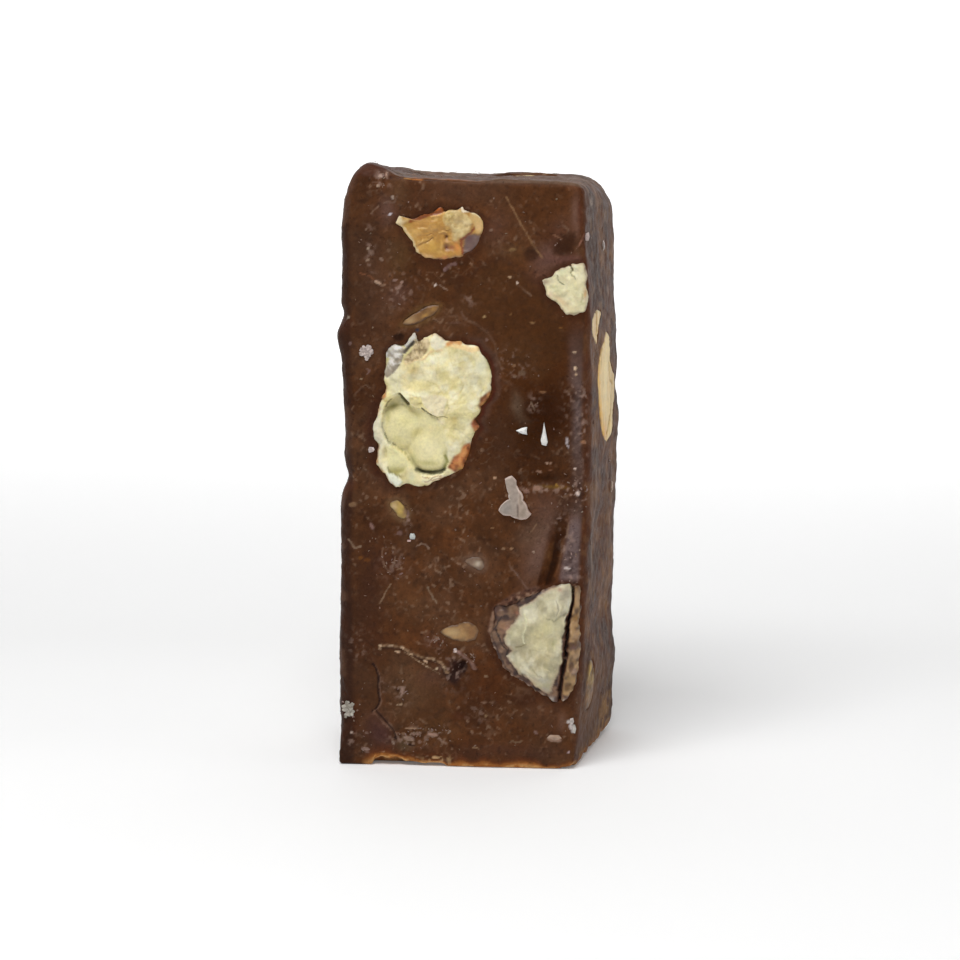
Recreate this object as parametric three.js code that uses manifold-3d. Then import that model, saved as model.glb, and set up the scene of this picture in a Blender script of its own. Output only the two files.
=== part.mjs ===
// A piece of chocolate nougat with whole nuts in it, cut from a bar and standing on its end.
// Millimetres, +Z up. The cut face that shows most looks along -Y, the origin is in the middle
// of the base. The right side flares out towards the back, so it shows from the front as well.

import * as THREE from "three";
import { mergeVertices } from "three/addons/utils/BufferGeometryUtils.js";
import Module from "manifold-3d";

const wasm = await Module();
wasm.setup();

// The block.
const HEIGHT = 75;
const TOP_FALL = 0.035; // the top drops this much for each millimetre to the right
const HALF_DEPTH = 11;
const LEFT_FOOT = 17.3; // left side at the base, in -x
const LEFT_LEAN = 0.8; // the left side leans in by this much up to the top
const SHOULDER = { from: 69, reach: 7.2, lean: 1.75 }; // and more where its top rounds in
const RIGHT_FOOT = 12.9; // front right edge at the base, in x
const RIGHT_LEAN = 0.9;
const RIGHT_BOW = 1.35; // the front right edge bows out half way up
const RIGHT_BACK = 17.1; // back right edge, in x
const HUMP = { x: -13.4, y: -8, height: 1.45, across: 3.2, along: 8 };

// Radii of the block's edges.
const EDGE = { base: 0.4, front: 0.9, back: 1.3, frontLeft: 2.2, bevel: 1.9, crownLeft: 2 };
const CORNER = { base: 0.5, topLeft: 1.6, topRightFront: 1.2, topRightBack: 5 };

// How nuts and crumbs sit in the block.
const GAP = 0.3; // between a nut and the nougat round it
const PROUD = 0.2; // a cut nut stands this far out of the nougat
const OUTLINE_STEPS = 22;
const DOME_STEPS = 3;

// The mesh: every edge of the block is a fan of rays, and between the fans lie even steps.
const ANCHOR = 4; // the rays start this deep under the surface
const RAY = 9;
const FAN = [1, 0.86, 0.55];
const STEPS = { x: 13, y: 7, z: 26 };

const mix = (a, b, t) => a + (b - a) * t;
const bump = (distance, reach) => Math.exp(-((distance / reach) ** 2));
const spot = (u, v, cu, cv, ru, rv) => bump(Math.hypot((u - cu) / ru, (v - cv) / rv), 1);

function smooth(from, to, value) {
  const t = Math.min(Math.max((value - from) / (to - from), 0), 1);
  return t * t * (3 - 2 * t);
}

// A soft swell of the surface, the same each time, with its own phase on each face.
function swell(u, v, phase) {
  const broad = Math.sin(0.21 * u + 0.13 * v + phase) * Math.sin(0.17 * v - 0.11 * u + 2 * phase);
  const fine = Math.sin(0.53 * u - 0.37 * v + 3 * phase) * Math.sin(0.61 * v + 0.29 * u + phase);
  return 0.65 * broad + 0.35 * fine;
}

// How near a point is to a bent line: 1 on the line and 0 well beyond its reach.
function stroke(u, v, line, reach) {
  let nearest = Infinity;
  for (let k = 1; k < line.length; k += 1) {
    const [au, av] = line[k - 1];
    const [bu, bv] = line[k];
    const along = ((u - au) * (bu - au) + (v - av) * (bv - av)) / ((bu - au) ** 2 + (bv - av) ** 2);
    const t = Math.min(Math.max(along, 0), 1);
    nearest = Math.min(nearest, Math.hypot(u - mix(au, bu, t), v - mix(av, bv, t)));
  }
  return bump(nearest, reach);
}

const GROOVE = [[12.1, 33], [11.1, 31], [10.2, 27], [9.5, 24]];
const RIDGE = [[-11.6, 15.6], [-9.3, 15.5], [-7.8, 15], [-6.1, 14.2], [-4.6, 13.4]];
const PIT = [-2.2, 13.2];

// The five walls, each as its distance from the middle of the base.
function rightWall(y, z) {
  const front = RIGHT_FOOT + (RIGHT_LEAN * z) / HEIGHT + RIGHT_BOW * Math.sin((Math.PI * z) / HEIGHT);
  const waves = 0.3 * Math.sin(0.11 * z - 2.6) + 0.15 * Math.sin(0.41 * z);
  const swells = 0.5 * bump(z - 57, 5.5) + 0.55 * bump(z - 42.5, 3.2) + 0.85 * bump(z - 10.5, 4.5);
  const back = RIGHT_BACK + waves + swells;
  return mix(front, back, (y + HALF_DEPTH) / (2 * HALF_DEPTH));
}

function rightRelief(y, z) {
  const dents = 0.5 * spot(y, z, -1, 30, 5, 3.5) + 0.45 * spot(y, z, 2, 17.5, 6, 2.2);
  const lumps = 0.35 * spot(y, z, 5, 24.5, 5, 3) + 0.3 * spot(y, z, -2, 12, 4, 3);
  return lumps - dents + 0.16 * swell(y, z, 4.1);
}

function leftWall(z) {
  const folds = 0.45 * bump(z - 55.2, 1.5) - 0.4 * bump(z - 58, 1.2);
  const dent = 0.8 * bump(z - 37.2, 1.6) + 0.55 * bump(z - 42, 5.5);
  const shoulder = SHOULDER.lean * (Math.max(z - SHOULDER.from, 0) / SHOULDER.reach) ** 2;
  return LEFT_FOOT - (LEFT_LEAN * z) / HEIGHT + folds - dent - shoulder;
}

function topWall(x) {
  return HEIGHT - TOP_FALL * x;
}

function topRelief(x, y) {
  const hump = HUMP.height * spot(x, y, HUMP.x, HUMP.y, HUMP.across, HUMP.along);
  const hollow = 0.35 * spot(x, y, -6, 3, 5, 6);
  return hump - hollow + 0.15 * swell(x, y, 2.3);
}

function frontRelief(x, z) {
  const basin = 0.5 * spot(x, z, 6.5, 50, 4, 11);
  const ledge = 0.45 * smooth(35.6, 37.2, z) * spot(x, z, 9.5, 38.5, 3.6, 3.6);
  const groove = 0.75 * stroke(x, z, GROOVE, 1.1);
  const slope = 0.3 * spot(x, z, 7.5, 28, 2.2, 5);
  const ridge = 0.3 * stroke(x, z, RIDGE, 1.2);
  const pit = 0.4 * spot(x, z, PIT[0], PIT[1], 1.4, 1.4);
  const hollow = 0.3 * spot(x, z, -10, 9.5, 3.5, 4);
  return slope + ridge - basin - ledge - groove - pit - hollow + 0.17 * swell(x, z, 0.7);
}

function backRelief(x, z) {
  const dents = 0.6 * spot(x, z, 6, 22, 4, 6) + 0.5 * spot(x, z, -9, 55, 5, 4);
  const lumps = 0.4 * spot(x, z, -3, 36, 6, 3.5) + 0.35 * spot(x, z, 11, 60, 4, 7);
  return lumps - dents + 0.22 * swell(x, z, 5.6);
}

// Two faces that meet in a rounded edge, as a signed distance.
function roundedEdge(a, b, radius) {
  const reach = Math.hypot(Math.max(radius + a, 0), Math.max(radius + b, 0));
  return Math.min(-radius, Math.max(a, b)) + reach;
}

function cornerRadius(x, y, z) {
  const depth = (y + HALF_DEPTH) / (2 * HALF_DEPTH);
  const topRight = mix(CORNER.topRightFront, CORNER.topRightBack, smooth(0, 1, depth));
  const top = mix(CORNER.topLeft, topRight, smooth(-4, 4, x));
  return mix(CORNER.base, top, smooth(3, 12, z));
}

function rimRadius(x, y, z) {
  const bevel = mix(EDGE.front, EDGE.bevel, 1 - smooth(50, 62, z));
  const side = mix(EDGE.frontLeft, bevel, smooth(-9, 5, x));
  const crown = mix(EDGE.crownLeft, EDGE.front, smooth(-13, -8, x));
  const front = mix(side, crown, smooth(66, 71, z));
  const rim = mix(front, EDGE.back, smooth(-4, 4, y));
  return mix(EDGE.base, rim, smooth(1, 6, z));
}

function blockDistance(x, y, z) {
  const right = x - rightWall(y, z) - rightRelief(y, z);
  const left = -x - leftWall(z) - 0.18 * swell(y, z, 1.9);
  const top = z - topWall(x) - topRelief(x, y);
  const front = -y - HALF_DEPTH - frontRelief(x, z);
  const back = y - HALF_DEPTH - backRelief(x, z);
  const profile = roundedEdge(Math.max(right, left), Math.max(top, -z), cornerRadius(x, y, z));
  return roundedEdge(profile, Math.max(front, back), rimRadius(x, y, z));
}

// The stops along one axis, each with its place between the anchors and its lean into a fan.
function stops(count) {
  const before = FAN.map((lean) => ({ place: 0, lean: -lean }));
  const after = FAN.map((lean) => ({ place: 1, lean })).reverse();
  const between = Array.from({ length: count + 1 }, (_, k) => ({ place: k / count, lean: 0 }));
  return [...before, ...between, ...after];
}

// Where the ray from an anchor leaves the block, which is grown by some thickness.
function surfacePoint(place, lean, grown) {
  const y = mix(ANCHOR - HALF_DEPTH, HALF_DEPTH - ANCHOR, place.y);
  const z = mix(ANCHOR, HEIGHT - ANCHOR, place.z);
  const x = mix(ANCHOR - leftWall(z), rightWall(y, z) - ANCHOR, place.x);
  let inside = 0;
  let outside = RAY;
  for (let k = 0; k < 40; k += 1) {
    const middle = (inside + outside) / 2;
    const at = blockDistance(x + lean.x * middle, y + lean.y * middle, z + lean.z * middle);
    if (at < grown) inside = middle;
    else outside = middle;
  }
  return [x + lean.x * inside, y + lean.y * inside, z + lean.z * inside];
}

// The six sides of the box of rays: the axis that looks out, then the two that span it.
const SIDES = [
  { out: ["y", -1], across: ["x", 1], up: "z" },
  { out: ["y", 1], across: ["x", -1], up: "z" },
  { out: ["x", 1], across: ["y", 1], up: "z" },
  { out: ["x", -1], across: ["y", -1], up: "z" },
  { out: ["z", 1], across: ["x", 1], up: "y" },
  { out: ["z", -1], across: ["x", -1], up: "y" },
];

function blockGeometry(grown) {
  const positions = [];
  const triangles = [];
  for (const { out, across, up } of SIDES) {
    const columns = stops(STEPS[across[0]]);
    if (across[1] < 0) columns.reverse();
    const rows = stops(STEPS[up]);
    const first = positions.length / 3;
    for (const row of rows) {
      for (const column of columns) {
        const place = { [out[0]]: out[1] > 0 ? 1 : 0, [across[0]]: column.place, [up]: row.place };
        const lean = { [out[0]]: out[1], [across[0]]: column.lean, [up]: row.lean };
        positions.push(...surfacePoint(place, lean, grown));
      }
    }
    for (let r = 0; r + 1 < rows.length; r += 1) {
      for (let c = 0; c + 1 < columns.length; c += 1) {
        const a = first + r * columns.length + c;
        const b = a + columns.length;
        triangles.push(a, a + 1, b + 1, a, b + 1, b);
      }
    }
  }
  const geometry = new THREE.BufferGeometry();
  geometry.setAttribute("position", new THREE.Float32BufferAttribute(positions, 3));
  geometry.setIndex(triangles);
  return geometry;
}

// A closed geometry as a solid that can be joined and cut, and back again.
function solidOf(geometry) {
  const bare = geometry.clone();
  bare.deleteAttribute("normal");
  bare.deleteAttribute("uv");
  const merged = mergeVertices(bare, 1e-4);
  const vertProperties = new Float32Array(merged.attributes.position.array);
  const triVerts = new Uint32Array(merged.index.array);
  return new wasm.Manifold(new wasm.Mesh({ numProp: 3, vertProperties, triVerts }));
}

function geometryOf(solid) {
  const mesh = solid.getMesh();
  const geometry = new THREE.BufferGeometry();
  geometry.setAttribute("position", new THREE.Float32BufferAttribute(mesh.vertProperties, 3));
  geometry.setIndex(Array.from(mesh.triVerts));
  geometry.computeVertexNormals();
  return geometry;
}

// The faces that a nut shows in. Each turns a place on the face and a depth into a point.
const FACES = {
  front: (u, v, depth) => [u, depth - HALF_DEPTH, v],
  back: (u, v, depth) => [u, HALF_DEPTH - depth, v],
  right: (u, v, depth) => [rightWall(u, v) - depth, u, v],
  left: (u, v, depth) => [depth - leftWall(v), u, v],
  top: (u, v, depth) => [u, v, topWall(u) - depth],
};
const FLIPPED = new Set(["back", "left"]);

// A smooth outline through a few points, moved outwards by some distance.
function outlineOf(points, grown) {
  const curve = new THREE.CatmullRomCurve3(
    points.map(([u, v]) => new THREE.Vector3(u, v, 0)),
    true,
    "centripetal",
  );
  const count = points.length > 6 ? OUTLINE_STEPS : OUTLINE_STEPS / 2;
  return Array.from({ length: count }, (_, k) => {
    const point = curve.getPoint(k / count);
    const tangent = curve.getTangent(k / count);
    return [point.x + grown * tangent.y, point.y - grown * tangent.x];
  });
}

// A nut whose outline shows in a face: straight where it sticks out, and rounded off inside.
function nutGeometry({ face, points, depth }, grown) {
  const outline = outlineOf(points, grown);
  const middleU = outline.reduce((sum, [u]) => sum + u, 0) / outline.length;
  const middleV = outline.reduce((sum, [, v]) => sum + v, 0) / outline.length;
  const rings = [{ size: 1, deep: -2 }];
  for (let k = 0; k < DOME_STEPS; k += 1) {
    const angle = (k / DOME_STEPS) * (Math.PI / 2);
    rings.push({ size: Math.cos(angle) ** 0.7, deep: (depth + grown) * Math.sin(angle) });
  }
  const place = FACES[face];
  const positions = [...place(middleU, middleV, -2)];
  for (const { size, deep } of rings) {
    for (const [u, v] of outline) {
      positions.push(...place(mix(middleU, u, size), mix(middleV, v, size), deep));
    }
  }
  positions.push(...place(middleU, middleV, depth + grown));

  const triangles = [];
  const count = outline.length;
  const last = positions.length / 3 - 1;
  const add = (a, b, c) => triangles.push(...(FLIPPED.has(face) ? [a, c, b] : [a, b, c]));
  for (let k = 0; k < count; k += 1) {
    const next = (k + 1) % count;
    add(0, 1 + k, 1 + next);
    for (let ring = 0; ring + 1 < rings.length; ring += 1) {
      const a = 1 + ring * count;
      const b = a + count;
      add(a + k, b + k, b + next);
      add(a + k, b + next, a + next);
    }
    const end = last - count;
    add(end + k, last, end + next);
  }
  const geometry = new THREE.BufferGeometry();
  geometry.setAttribute("position", new THREE.Float32BufferAttribute(positions, 3));
  geometry.setIndex(triangles);
  return geometry;
}

// The nuts. Points go round each outline anticlockwise, seen along the depth from outside
// for the front, the right side and the top: x and z, y and z, or x and y.
const NUTS = {
  nut_large: {
    face: "front",
    depth: 8.5,
    points: [
      [-8.6, 54.8], [-10.9, 51.5], [-12, 46.5], [-12.4, 41.5], [-10.4, 37.2], [-6.7, 36.2],
      [-2.4, 38], [-0.5, 40.8], [1.1, 44.5], [2.3, 49.5], [1.2, 53.4], [-3.4, 55.6],
    ],
  },
  nut_top: {
    face: "front",
    depth: 5,
    points: [
      [-9, 70.2], [-7.8, 67.7], [-5.8, 65.3], [-2, 64.7], [0.6, 66.6], [1.4, 69.4],
      [-0.3, 71.4], [-3, 71.7], [-6, 70.6],
    ],
  },
  nut_edge: {
    face: "front",
    depth: 4.5,
    points: [
      [8.6, 62.4], [9.3, 60.6], [11, 59], [12.9, 58.2], [14.2, 58.9], [14.65, 60.4],
      [14.3, 62.2], [14.35, 63.6], [13.7, 64.9], [12, 64.6], [10.4, 63.7],
    ],
  },
  nut_corner: {
    face: "front",
    depth: 7.5,
    points: [
      [8.8, 23.1], [5.6, 21.9], [2.7, 20.8], [2.2, 17.2], [3.4, 13.9], [5.6, 11.3], [8.8, 9.2],
      [10.9, 8.3], [12.8, 9.6], [13.75, 12.6], [13.85, 18.2], [13.85, 22.6], [11.2, 23.8],
    ],
  },
  nut_side: {
    face: "right",
    depth: 4.5,
    points: [
      [1.4, 55], [-1.6, 53.9], [-4, 52.4], [-4.9, 50], [-4.3, 46], [-2.4, 42.6], [0.4, 40.7],
      [3.4, 40.8], [5.6, 42.6], [7.6, 45.8], [6.8, 48.7], [4, 51.2], [3.2, 53.6],
    ],
  },
  nut_side_small: {
    face: "right",
    depth: 1.8,
    points: [[-9.3, 56.9], [-7.2, 54.9], [-5.1, 54.3], [-4.1, 56.5], [-2.7, 57.9], [-6, 58.4]],
  },
  nut_side_low: {
    face: "right",
    depth: 1,
    points: [[-6.4, 13.3], [-7.5, 10.6], [-7.2, 7.2], [-5, 6.4], [-3.5, 8.8], [-4.4, 12.2]],
  },
  chip_tan: {
    face: "front",
    depth: 1.6,
    points: [[-4.3, 17.7], [-1.8, 16.3], [0.4, 16.6], [0.8, 18], [-0.6, 18.9], [-2.6, 18.5]],
  },
  chip_gold: {
    face: "front",
    depth: 0.9,
    points: [[-8.8, 57], [-7, 57.1], [-4.2, 58.9], [-4.5, 59.6], [-7, 58.3]],
  },
  chip_yellow: {
    face: "front",
    depth: 1.2,
    points: [[-10.4, 34], [-9.6, 32.7], [-8, 32.7], [-8.1, 34], [-9.3, 34.7]],
  },
  chip_pink: {
    face: "front",
    depth: 1.1,
    points: [[-0.8, 26.8], [0.2, 25.8], [1.4, 26.1], [1.3, 27.1], [0.2, 27.4]],
  },
  nut_back_high: {
    face: "back",
    depth: 6,
    points: [
      [-6, 67.5], [-10.5, 64], [-9.8, 58], [-5.5, 55.2], [-1.4, 58.4], [-0.8, 64.5], [-3, 67.2],
    ],
  },
  nut_back_middle: {
    face: "back",
    depth: 5.5,
    points: [
      [5.5, 49.3], [1.2, 47], [-0.6, 41], [1.4, 36.4], [5.2, 36.8], [8.2, 41], [8.6, 46.5],
    ],
  },
  nut_back_low: {
    face: "back",
    depth: 6,
    points: [
      [-6.5, 27], [-10.5, 23.5], [-11.2, 17.5], [-8, 13.6], [-4, 15.2], [-2.4, 20], [-3.3, 25],
    ],
  },
  nut_back_small: {
    face: "back",
    depth: 3.5,
    points: [[8, 14.5], [5.2, 12], [5.8, 8.4], [9, 7.4], [11.6, 9.6], [11.2, 13.2]],
  },
  nut_left_high: {
    face: "left",
    depth: 3.8,
    points: [
      [2.5, 68.5], [-2, 66.8], [-3.4, 62.5], [-1, 59.6], [3, 60.4], [5.6, 63.6], [5.4, 67],
    ],
  },
  nut_left_low: {
    face: "left",
    depth: 4,
    points: [
      [-0.5, 29.5], [-4.4, 26.5], [-4.8, 20.5], [-1.6, 17], [2.2, 18.6], [3.6, 24], [2.4, 28],
    ],
  },
  nut_upper: {
    face: "top",
    depth: 4,
    points: [[8.6, 5.6], [4.8, 6.2], [1.8, 3.8], [2.2, 0.8], [5.6, -0.2], [9, 1.6], [10, 3.8]],
  },
};

// Hollows and cracks in the flesh of a nut: where they are, their half sizes and their turn.
const HOLLOWS = {
  nut_large: [
    { at: [-7.2, -11.3, 43.2], size: [3.4, 1.1, 3.3], turn: 0.2 },
    { at: [-7.4, -11.3, 40.3], size: [2.4, 0.9, 1.6], turn: -0.3 },
    { at: [-7.8, -11.4, 47.2], size: [2.8, 0.8, 0.45], turn: 0.45 },
  ],
  nut_top: [{ at: [-2.6, -11.5, 67.2], size: [1.6, 0.6, 0.9], turn: 0.4 }],
  nut_edge: [{ at: [12.1, -11.3, 63.4], size: [0.35, 0.6, 1.2], turn: 0.3 }],
  nut_corner: [
    { at: [12.1, -11.2, 16.5], size: [0.35, 0.9, 6], turn: 0.12 },
    { at: [6, -11.4, 19], size: [1.8, 0.5, 2], turn: 0.3 },
  ],
  nut_back_high: [{ at: [-5.2, 11.5, 62], size: [2, 0.8, 3.6], turn: 0.2 }],
  nut_back_middle: [{ at: [4.3, 11.4, 43], size: [1.5, 0.7, 3.4], turn: -0.2 }],
};

// Sugar crystals and flakes that lie on the nougat: where they are and their half sizes.
const CRYSTALS = [
  { face: "front", at: [-13.4, 53.3], size: [0.85, 0.45, 0.9] },
  { face: "front", at: [-7.6, 30.1], size: [0.5, 0.35, 0.4] },
  { face: "front", at: [6.3, 43.6], size: [0.7, 0.4, 0.4] },
  { face: "front", at: [8.8, 43], size: [0.4, 0.4, 1.3] },
  { face: "front", at: [13.6, 67.9], size: [0.5, 0.4, 0.5] },
  { face: "front", at: [-16, 8.4], size: [0.8, 0.6, 0.7] },
  { face: "front", at: [-15.4, 6.6], size: [0.9, 0.5, 0.8] },
  { face: "front", at: [12.6, 5.4], size: [0.5, 0.45, 0.9] },
  { face: "front", at: [10.2, 4.2], size: [1, 0.4, 0.4] },
  { face: "back", at: [-12.5, 43], size: [1, 0.45, 0.8] },
  { face: "back", at: [11.5, 27], size: [1.1, 0.5, 0.7] },
  { face: "left", at: [4.6, 46], size: [0.45, 0.9, 0.8] },
  { face: "left", at: [-2.5, 10], size: [0.4, 0.7, 0.9] },
];
const FLAKE = [
  [5, 37.9], [4.2, 37.3], [4.7, 35.2], [3.3, 33.6], [3.9, 32.6], [6.4, 32.1], [7.4, 33],
  [6.4, 34.8], [5.5, 36.8],
];
const FLAKE_THICKNESS = 1;

function lump({ face, at, size }) {
  const object = new THREE.Object3D();
  object.position.set(...FACES[face](at[0], at[1], 0));
  object.scale.set(...size);
  object.updateMatrix();
  return new THREE.IcosahedronGeometry(1, 0).applyMatrix4(object.matrix);
}

function hollowGeometry({ at, size, turn }) {
  const object = new THREE.Object3D();
  object.position.set(...at);
  object.rotation.y = turn;
  object.scale.set(...size);
  object.updateMatrix();
  return new THREE.SphereGeometry(1, 8, 6).applyMatrix4(object.matrix);
}

function flakeGeometry() {
  const shape = new THREE.Shape(FLAKE.map(([x, z]) => new THREE.Vector2(x, z)));
  const geometry = new THREE.ExtrudeGeometry(shape, { depth: FLAKE_THICKNESS, bevelEnabled: false });
  geometry.rotateX(Math.PI / 2);
  return geometry.translate(0, -HALF_DEPTH + FLAKE_THICKNESS / 2, 0);
}

// A low ridge of flaky nougat, as a row of stretched lumps along its line.
function ridgeLumps() {
  return RIDGE.map(([x, z]) => lump({ face: "front", at: [x, z], size: [1.5, 0.55, 0.45] }));
}

const nougatColor = 0x563923;
const fleshColor = 0xe6dbae;
const toastColor = 0xb98b4a;
const paleColor = 0xcbbf92;
const COLORS = {
  nut_top: toastColor,
  nut_corner: paleColor,
  nut_side_small: toastColor,
  nut_side_low: toastColor,
  chip_tan: toastColor,
  chip_gold: toastColor,
  chip_pink: toastColor,
};

function meshOf(name, geometry, color, roughness) {
  const material = new THREE.MeshStandardMaterial({ color, roughness, metalness: 0 });
  const mesh = new THREE.Mesh(geometry, material);
  mesh.name = name;
  return mesh;
}

const piece = new THREE.Group();

let nougat = solidOf(blockGeometry(0));
const crumbs = [...CRYSTALS.map(lump), ...ridgeLumps(), flakeGeometry()];
for (const crumb of crumbs) nougat = nougat.add(solidOf(crumb));
for (const nut of Object.values(NUTS)) nougat = nougat.subtract(solidOf(nutGeometry(nut, GAP)));
piece.add(meshOf("nougat", geometryOf(nougat), nougatColor, 0.45));

const cutter = solidOf(blockGeometry(PROUD));
for (const [name, nut] of Object.entries(NUTS)) {
  let solid = solidOf(nutGeometry(nut, 0)).intersect(cutter);
  for (const hollow of HOLLOWS[name] ?? []) solid = solid.subtract(solidOf(hollowGeometry(hollow)));
  piece.add(meshOf(name, geometryOf(solid), COLORS[name] ?? fleshColor, 0.6));
}

export default piece;
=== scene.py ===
import math

import bpy
import numpy as np
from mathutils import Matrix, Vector


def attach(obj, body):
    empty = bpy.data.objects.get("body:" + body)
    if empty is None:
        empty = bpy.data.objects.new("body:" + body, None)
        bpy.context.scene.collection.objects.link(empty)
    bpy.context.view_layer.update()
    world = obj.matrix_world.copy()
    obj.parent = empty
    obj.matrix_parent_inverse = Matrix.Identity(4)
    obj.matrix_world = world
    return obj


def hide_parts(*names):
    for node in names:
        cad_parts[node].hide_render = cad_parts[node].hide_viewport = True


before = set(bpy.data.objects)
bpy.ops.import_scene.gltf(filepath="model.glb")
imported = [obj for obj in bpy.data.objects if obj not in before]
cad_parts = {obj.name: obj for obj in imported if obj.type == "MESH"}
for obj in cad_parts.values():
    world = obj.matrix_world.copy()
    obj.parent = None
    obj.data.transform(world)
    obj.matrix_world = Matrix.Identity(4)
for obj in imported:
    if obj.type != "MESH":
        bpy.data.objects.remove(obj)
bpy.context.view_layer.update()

# A piece of chocolate nougat with whole nuts cut through, standing on its end. Sizes are in
# millimetres until a mesh is made. The cut face that shows most looks along -Y.
MM = 0.001

HEIGHT = 75.0
TOP_FALL = 0.035
HALF_DEPTH = 11.0
LEFT_FOOT = 17.3
LEFT_LEAN = 0.8
SHOULDER = (69.0, 7.2, 1.75)  # from this height, reach, lean
RIGHT_FOOT = 12.9
RIGHT_LEAN = 0.9
RIGHT_BOW = 1.35
RIGHT_BACK = 17.1
HUMP = (-13.4, -8.0, 1.45, 3.2, 8.0)  # x, y, height, reach in x and in y

EDGE = {"base": 0.4, "front": 0.9, "back": 1.3, "front_left": 2.2, "bevel": 1.9, "crown_left": 2.0}
CORNER = {"base": 0.5, "top_left": 1.6, "top_right_front": 1.2, "top_right_back": 5.0}

ANCHOR = 4.0
RAY = 9.0
FAN_STEPS = 12
FRONT_FINER = 2  # the cut face has this many times as many steps each way
STEPS = {"x": 80, "y": 34, "z": 212}

GROOVE = [(12.0, 33.0), (11.0, 31.0), (10.3, 27.0), (9.6, 24.2)]
RIDGE = [(-11.8, 15.6), (-9.8, 15.7), (-8.2, 15.1), (-6.4, 14.2), (-4.8, 13.3), (-3.6, 12.8)]
PIT = (-1.9, 12.9)


# Colours, as they look in daylight, from 0 to 255.
def linear(rgb):
    c = np.asarray(rgb, float) / 255
    return np.where(c <= 0.04045, c / 12.92, ((c + 0.055) / 1.055) ** 2.4)


# Soft shapes on a surface.
def mix(a, b, t):
    return a + (b - a) * t


def bump(distance, reach):
    return np.exp(-((distance / reach) ** 2))


def spot(u, v, cu, cv, ru, rv, turn=0.0):
    c, s = math.cos(turn), math.sin(turn)
    du, dv = u - cu, v - cv
    return np.exp(-(((du * c + dv * s) / ru) ** 2) - ((dv * c - du * s) / rv) ** 2)


def smooth(low, high, value):
    t = np.clip((value - low) / (high - low), 0, 1)
    return t * t * (3 - 2 * t)


def swell(u, v, phase):
    broad = np.sin(0.21 * u + 0.13 * v + phase) * np.sin(0.17 * v - 0.11 * u + 2 * phase)
    fine = np.sin(0.53 * u - 0.37 * v + 3 * phase) * np.sin(0.61 * v + 0.29 * u + phase)
    return 0.65 * broad + 0.35 * fine


def line_distance(u, v, line):
    nearest = np.full(np.shape(u), 1e9)
    for (au, av), (bu, bv) in zip(line, line[1:]):
        along = ((u - au) * (bu - au) + (v - av) * (bv - av)) / ((bu - au) ** 2 + (bv - av) ** 2)
        t = np.clip(along, 0, 1)
        nearest = np.minimum(nearest, np.hypot(u - mix(au, bu, t), v - mix(av, bv, t)))
    return nearest


def stroke(u, v, line, reach):
    return bump(line_distance(u, v, line), reach)


# A turn for places, so that a lattice of noise never lines up with the faces.
TURN = np.array([(0.74, -0.42, 0.52), (0.60, 0.77, -0.23), (-0.30, 0.48, 0.82)])


# Noise with a lattice of fixed random values, so it is the same at each run.
def lattice(ix, iy, iz, seed):
    h = (ix * 374761393 + iy * 668265263 + iz * 1440662683 + seed * 974634777) & 0xFFFFFFFF
    h = ((h ^ (h >> 13)) * 1274126177) & 0xFFFFFFFF
    h = ((h ^ (h >> 15)) * 1103515245) & 0xFFFFFFFF
    return (h ^ (h >> 16)) / 0x7FFFFFFF - 1


def noise(points, size, seed, octaves=1):
    total, weight, amount = 0.0, 1.0, 0.0
    for octave in range(octaves):
        p = np.asarray(points, float) / (np.asarray(size, float) / 2**octave) + 17.3 * octave
        cell = np.floor(p).astype(np.int64)
        f = p - cell
        f = f * f * f * (f * (f * 6 - 15) + 10)
        value = 0.0
        for dx in (0, 1):
            for dy in (0, 1):
                for dz in (0, 1):
                    share = (
                        np.where(dx, f[:, 0], 1 - f[:, 0])
                        * np.where(dy, f[:, 1], 1 - f[:, 1])
                        * np.where(dz, f[:, 2], 1 - f[:, 2])
                    )
                    at = cell + (dx, dy, dz)
                    corner = lattice(at[:, 0], at[:, 1], at[:, 2], seed + octave)
                    value = value + share * corner
        total = total + weight * value
        amount += weight
        weight *= 0.5
    return total / amount


# The block, the same form as the solid: five walls and a flat base with rounded edges.
def left_wall(z):
    folds = 0.45 * bump(z - 55.2, 1.5) - 0.4 * bump(z - 58, 1.2)
    dent = 0.8 * bump(z - 37.2, 1.6) + 0.55 * bump(z - 42, 5.5)
    start, reach, lean = SHOULDER
    shoulder = lean * (np.maximum(z - start, 0) / reach) ** 2
    return LEFT_FOOT - LEFT_LEAN * z / HEIGHT + folds - dent - shoulder


def right_wall(y, z):
    front = RIGHT_FOOT + RIGHT_LEAN * z / HEIGHT + RIGHT_BOW * np.sin(np.pi * z / HEIGHT)
    waves = 0.3 * np.sin(0.11 * z - 2.6) + 0.15 * np.sin(0.41 * z)
    swells = 0.5 * bump(z - 57, 5.5) + 0.55 * bump(z - 42.5, 3.2) + 0.85 * bump(z - 10.5, 4.5)
    back = RIGHT_BACK + waves + swells
    return mix(front, back, (y + HALF_DEPTH) / (2 * HALF_DEPTH))


def right_relief(y, z):
    dents = 0.5 * spot(y, z, -1, 30, 5, 3.5) + 0.45 * spot(y, z, 2, 17.5, 6, 2.2)
    lumps = 0.35 * spot(y, z, 5, 24.5, 5, 3) + 0.3 * spot(y, z, -2, 12, 4, 3)
    return lumps - dents + 0.16 * swell(y, z, 4.1)


def top_wall(x):
    return HEIGHT - TOP_FALL * x


def top_relief(x, y):
    hump_x, hump_y, height, across, along = HUMP
    hump = height * spot(x, y, hump_x, hump_y, across, along)
    return hump - 0.35 * spot(x, y, -6, 3, 5, 6) + 0.15 * swell(x, y, 2.3)


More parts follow.
